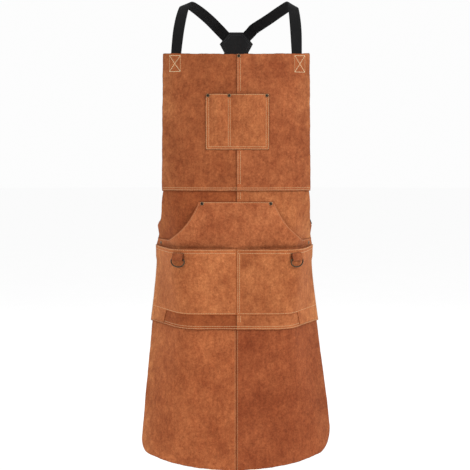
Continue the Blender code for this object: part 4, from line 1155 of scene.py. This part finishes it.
def sew_border(name, outline, y):
    """Two rows of black stitches inside a patch's edge, at depth y."""
    vertices, faces = [], []
    radius, back = 0.00045, Vector((0, 1, 0))
    for share in (0.90, 0.78):
        ring = [Vector((x, y, z)) for x, z in shrunk(outline, share)]
        for a, b in zip(ring, ring[1:] + ring[:1]):
            run = (b - a).normalized()
            side = run.cross(back)
            first = len(vertices)
            vertices.append(a.lerp(b, 0.08))
            for at in (0.25, 0.75):
                middle = a.lerp(b, at)
                vertices += [middle + radius * d for d in (side, back, -side, -back)]
            vertices.append(a.lerp(b, 0.92))
            faces += band(first + 1, first + 5, 4)
            for k in range(4):
                n = (k + 1) % 4
                faces.append((first, first + 1 + n, first + 1 + k))
                faces.append((first + 9, first + 5 + k, first + 5 + n))
    hold(mesh_object(name, vertices, faces, BLACK_THREAD), BODY, "black_patch")


def make_patch():
    """Two six-sided layers of coated cloth, pillowed over the straps, with a sewn border."""
    corners = list(PATCH_RIGHT) + [(-x, z) for x, z in PATCH_RIGHT[::-1]]
    outline = []
    for a, b in zip(corners, corners[1:] + corners[:1]):
        outline += [(a[0] + (b[0] - a[0]) * k / 14, a[1] + (b[1] - a[1]) * k / 14) for k in range(14)]
    shares = [0.10, 0.22, 0.36, 0.50, 0.64, 0.76, 0.85, 0.91, 0.95, 0.975, 0.99, 1.0]
    count, rows = len(outline), len(shares)
    for name, low, high, front in (
        ("cross_patch_inner", -PATCH_STACK - LEATHER, -PATCH_STACK, -1),
        ("cross_patch_outer", PATCH_STACK, PATCH_STACK + LEATHER, 1),
    ):
        vertices, faces = [], []
        for layer, y in enumerate((high if front > 0 else low, low if front > 0 else high)):
            for share in shares:
                soft = math.exp(-(((1 - share) * 0.035 / 0.0022 - 1.5) ** 2))
                bulge = 0.0006 * (1 - share**6) - 0.0004 * soft * (layer == 0)
                edge_drop = 0.0005 * max((share - 0.975) / 0.025, 0) ** 2
                lift = bulge - edge_drop if layer == 0 else edge_drop
                vertices += [(x, PATCH_Y + y + front * lift, z) for x, z in shrunk(outline, share)]
        for layer in range(2):
            base = layer * rows * count
            faces.append([base + k for k in range(count)][:: -1 if (layer == 0) == (front < 0) else 1])
            for r in range(rows - 1):
                for k in range(count):
                    n = (k + 1) % count
                    inner, outer = base + r * count, base + (r + 1) * count
                    faces.append([inner + k, outer + k, outer + n, inner + n])
        last = (rows - 1) * count
        faces += band(last, last + rows * count, count)
        obj = mesh_object(name + "_cloth", vertices, faces, CLOTH)
        fix = bmesh.new()
        fix.from_mesh(obj.data)
        bmesh.ops.recalc_face_normals(fix, faces=fix.faces)
        fix.to_mesh(obj.data)
        fix.free()
        hold(obj, BODY, "black_patch", name)
        y = PATCH_Y + (high + 0.0003 if front > 0 else low - 0.0003)
        sew_border(f"stitching_{name}", outline[::2], y)


def make_side_tabs():
    for side, flip in SIDES:
        matrix = hip_frame(flip)
        behind = WAIST_BASE - SIDE_TAB_GAP - SIDE_TAB_THICK / 2
        path = [(Vector(spot(flip * u, v, behind)), Vector(outward(flip * u, v))) for u, v in TAB_PATTERN]
        radius = LOOP_BAR + CLEARANCE + SIDE_TAB_THICK / 2
        fold = bar_fold(FEMALE_BAR, radius, 90, -90, 12)
        path += placed(matrix, [(-0.004, radius)] + fold + [(-0.008, -radius)])
        size = (SIDE_TAB_WIDTH, SIDE_TAB_THICK)
        tab = ribbon(f"side_tab_leather_{side}", path, *size, SUEDE["tab"], 0.0008, 18)
        hold(tab, BODY, "pocket_leather", f"side_tab_{side}")
        note_strip(tab, SIDE_TAB_WIDTH, path)


def softened(node, body, width):
    """A moulded part from its frame solid, with its sharp edges rounded as a mould leaves them."""
    obj = frame["nodes"][node].copy()
    obj.data = frame["nodes"][node].data.copy()
    obj.name = obj.data.name = f"{node}_moulded"
    obj.parent = None
    for key in list(obj.keys()):
        del obj[key]
    bpy.context.scene.collection.objects.link(obj)
    clean = bmesh.new()
    clean.from_mesh(obj.data)
    bmesh.ops.remove_doubles(clean, verts=clean.verts, dist=1e-6)
    bmesh.ops.dissolve_limit(clean, angle_limit=0.01, verts=clean.verts, edges=clean.edges)
    sharp = [e for e in clean.edges if len(e.link_faces) == 2 and e.calc_face_angle() > 0.5]
    bmesh.ops.bevel(
        clean, geom=sharp, offset=width, segments=2, profile=0.6, affect="EDGES", clamp_overlap=True,
    )
    bmesh.ops.recalc_face_normals(clean, faces=clean.faces)
    clean.to_mesh(obj.data)
    clean.free()
    obj.data.materials.clear()
    obj.data.materials.append(PLASTIC)
    obj.data.shade_smooth()
    obj.data.set_sharp_from_angle(angle=0.6)
    hold(obj, body, "black_plastic", node)


def make_plastics():
    softened("strap_adjuster_left", "slide_left", 0.0005)
    softened("strap_adjuster_right", "slide_right", 0.0005)
    softened("buckle_female", BODY, 0.0005)
    softened("buckle_male", BODY, 0.0004)
    softened("buckle_prong_front", "prong_front", 0.0004)
    softened("buckle_prong_rear", "prong_rear", 0.0004)
    half, low, high, corner = 0.0175, FEMALE_BAR, LOOP_BAR_HIGH, 0.003
    points = []
    for x, y, start in ((half, low, -90), (half, high, 0), (-half, high, 90), (-half, low, 180)):
        cx, cy = x - math.copysign(corner, x), y + (corner if y == low else -corner)
        for k in range(7):
            a = math.radians(start + 15 * k)
            points.append((cx + corner * math.cos(a), cy + corner * math.sin(a), 0.0))
    loop = swept_ring("hip_loop_wire", points, LOOP_BAR, hip_frame(-1), PLASTIC)
    hold(loop, BODY, "black_plastic", "hip_loop")


# ---- floor, light and camera


FLOOR_RADIUS, FLOOR_Z, WORLD_STRENGTH = 60.0, -1.45, 0.98
LIGHTS = (  # name, place, size and power
    ("key", (2.5, -2.0, 1.2), 0.9, 46),
    ("fill", (-2.6, -1.4, 0.0), 2.2, 9),
    ("rim", (0.3, 2.4, 1.4), 1.8, 12),
)
LIT_POINT = (0, 0.05, -0.6)
CAMERA_PLACE, CAMERA_TILT, CAMERA_LENS = (-0.0036, -2.25, -0.4514), 4.0009, 67.9


def make_stage():
    mat, tree, shader = nodes_of("pale_floor")
    speck = noise(tree, place(tree), 6, 3)
    pale = mixed(tree, speck, (0.975, 0.975, 0.975), (0.990, 0.990, 0.990))
    tree.links.new(pale, shader.inputs["Base Color"])
    shader.inputs["Roughness"].default_value = 0.9
    shader.inputs["Specular IOR Level"].default_value = 0.0
    turn = [k * math.pi / 32 for k in range(64)]
    rim = [(FLOOR_RADIUS * math.cos(a), FLOOR_RADIUS * math.sin(a), FLOOR_Z) for a in turn]
    floor = mesh_object("floor", rim, [tuple(range(64))], mat, False)
    world = bpy.data.worlds.new("soft_white")
    world.use_nodes = True
    sky = world.node_tree.nodes["Background"]
    sky.inputs[0].default_value = (1, 1, 1, 1)
    sky.inputs[1].default_value = WORLD_STRENGTH
    bpy.context.scene.world = world
    for name, at, size, power in LIGHTS:
        light = bpy.data.lights.new(name, "AREA")
        light.size, light.energy = size, power
        obj = bpy.data.objects.new(name, light)
        obj.location = at
        obj.rotation_euler = (Vector(LIT_POINT) - Vector(at)).to_track_quat("-Z", "Y").to_euler()
        bpy.context.scene.collection.objects.link(obj)
    camera = bpy.data.cameras.new("camera")
    camera.lens, camera.sensor_width = CAMERA_LENS, 36.0
    camera.clip_start, camera.clip_end = 0.05, 200
    obj = bpy.data.objects.new("camera", camera)
    obj.location = CAMERA_PLACE
    obj.rotation_euler = (math.radians(90 - CAMERA_TILT), 0, 0)
    bpy.context.scene.collection.objects.link(obj)
    bpy.context.scene.camera = obj
    bpy.context.scene.view_settings.view_transform = "Standard"


make_leather()
make_stitching()
make_rivets()
make_d_rings()
make_straps()
make_returns()
make_patch()
make_side_tabs()
make_plastics()
make_stage()

for sheet, wide, tall, area in SHEETS:
    area = min(max(area, 0.301 * wide * tall), wide * tall)
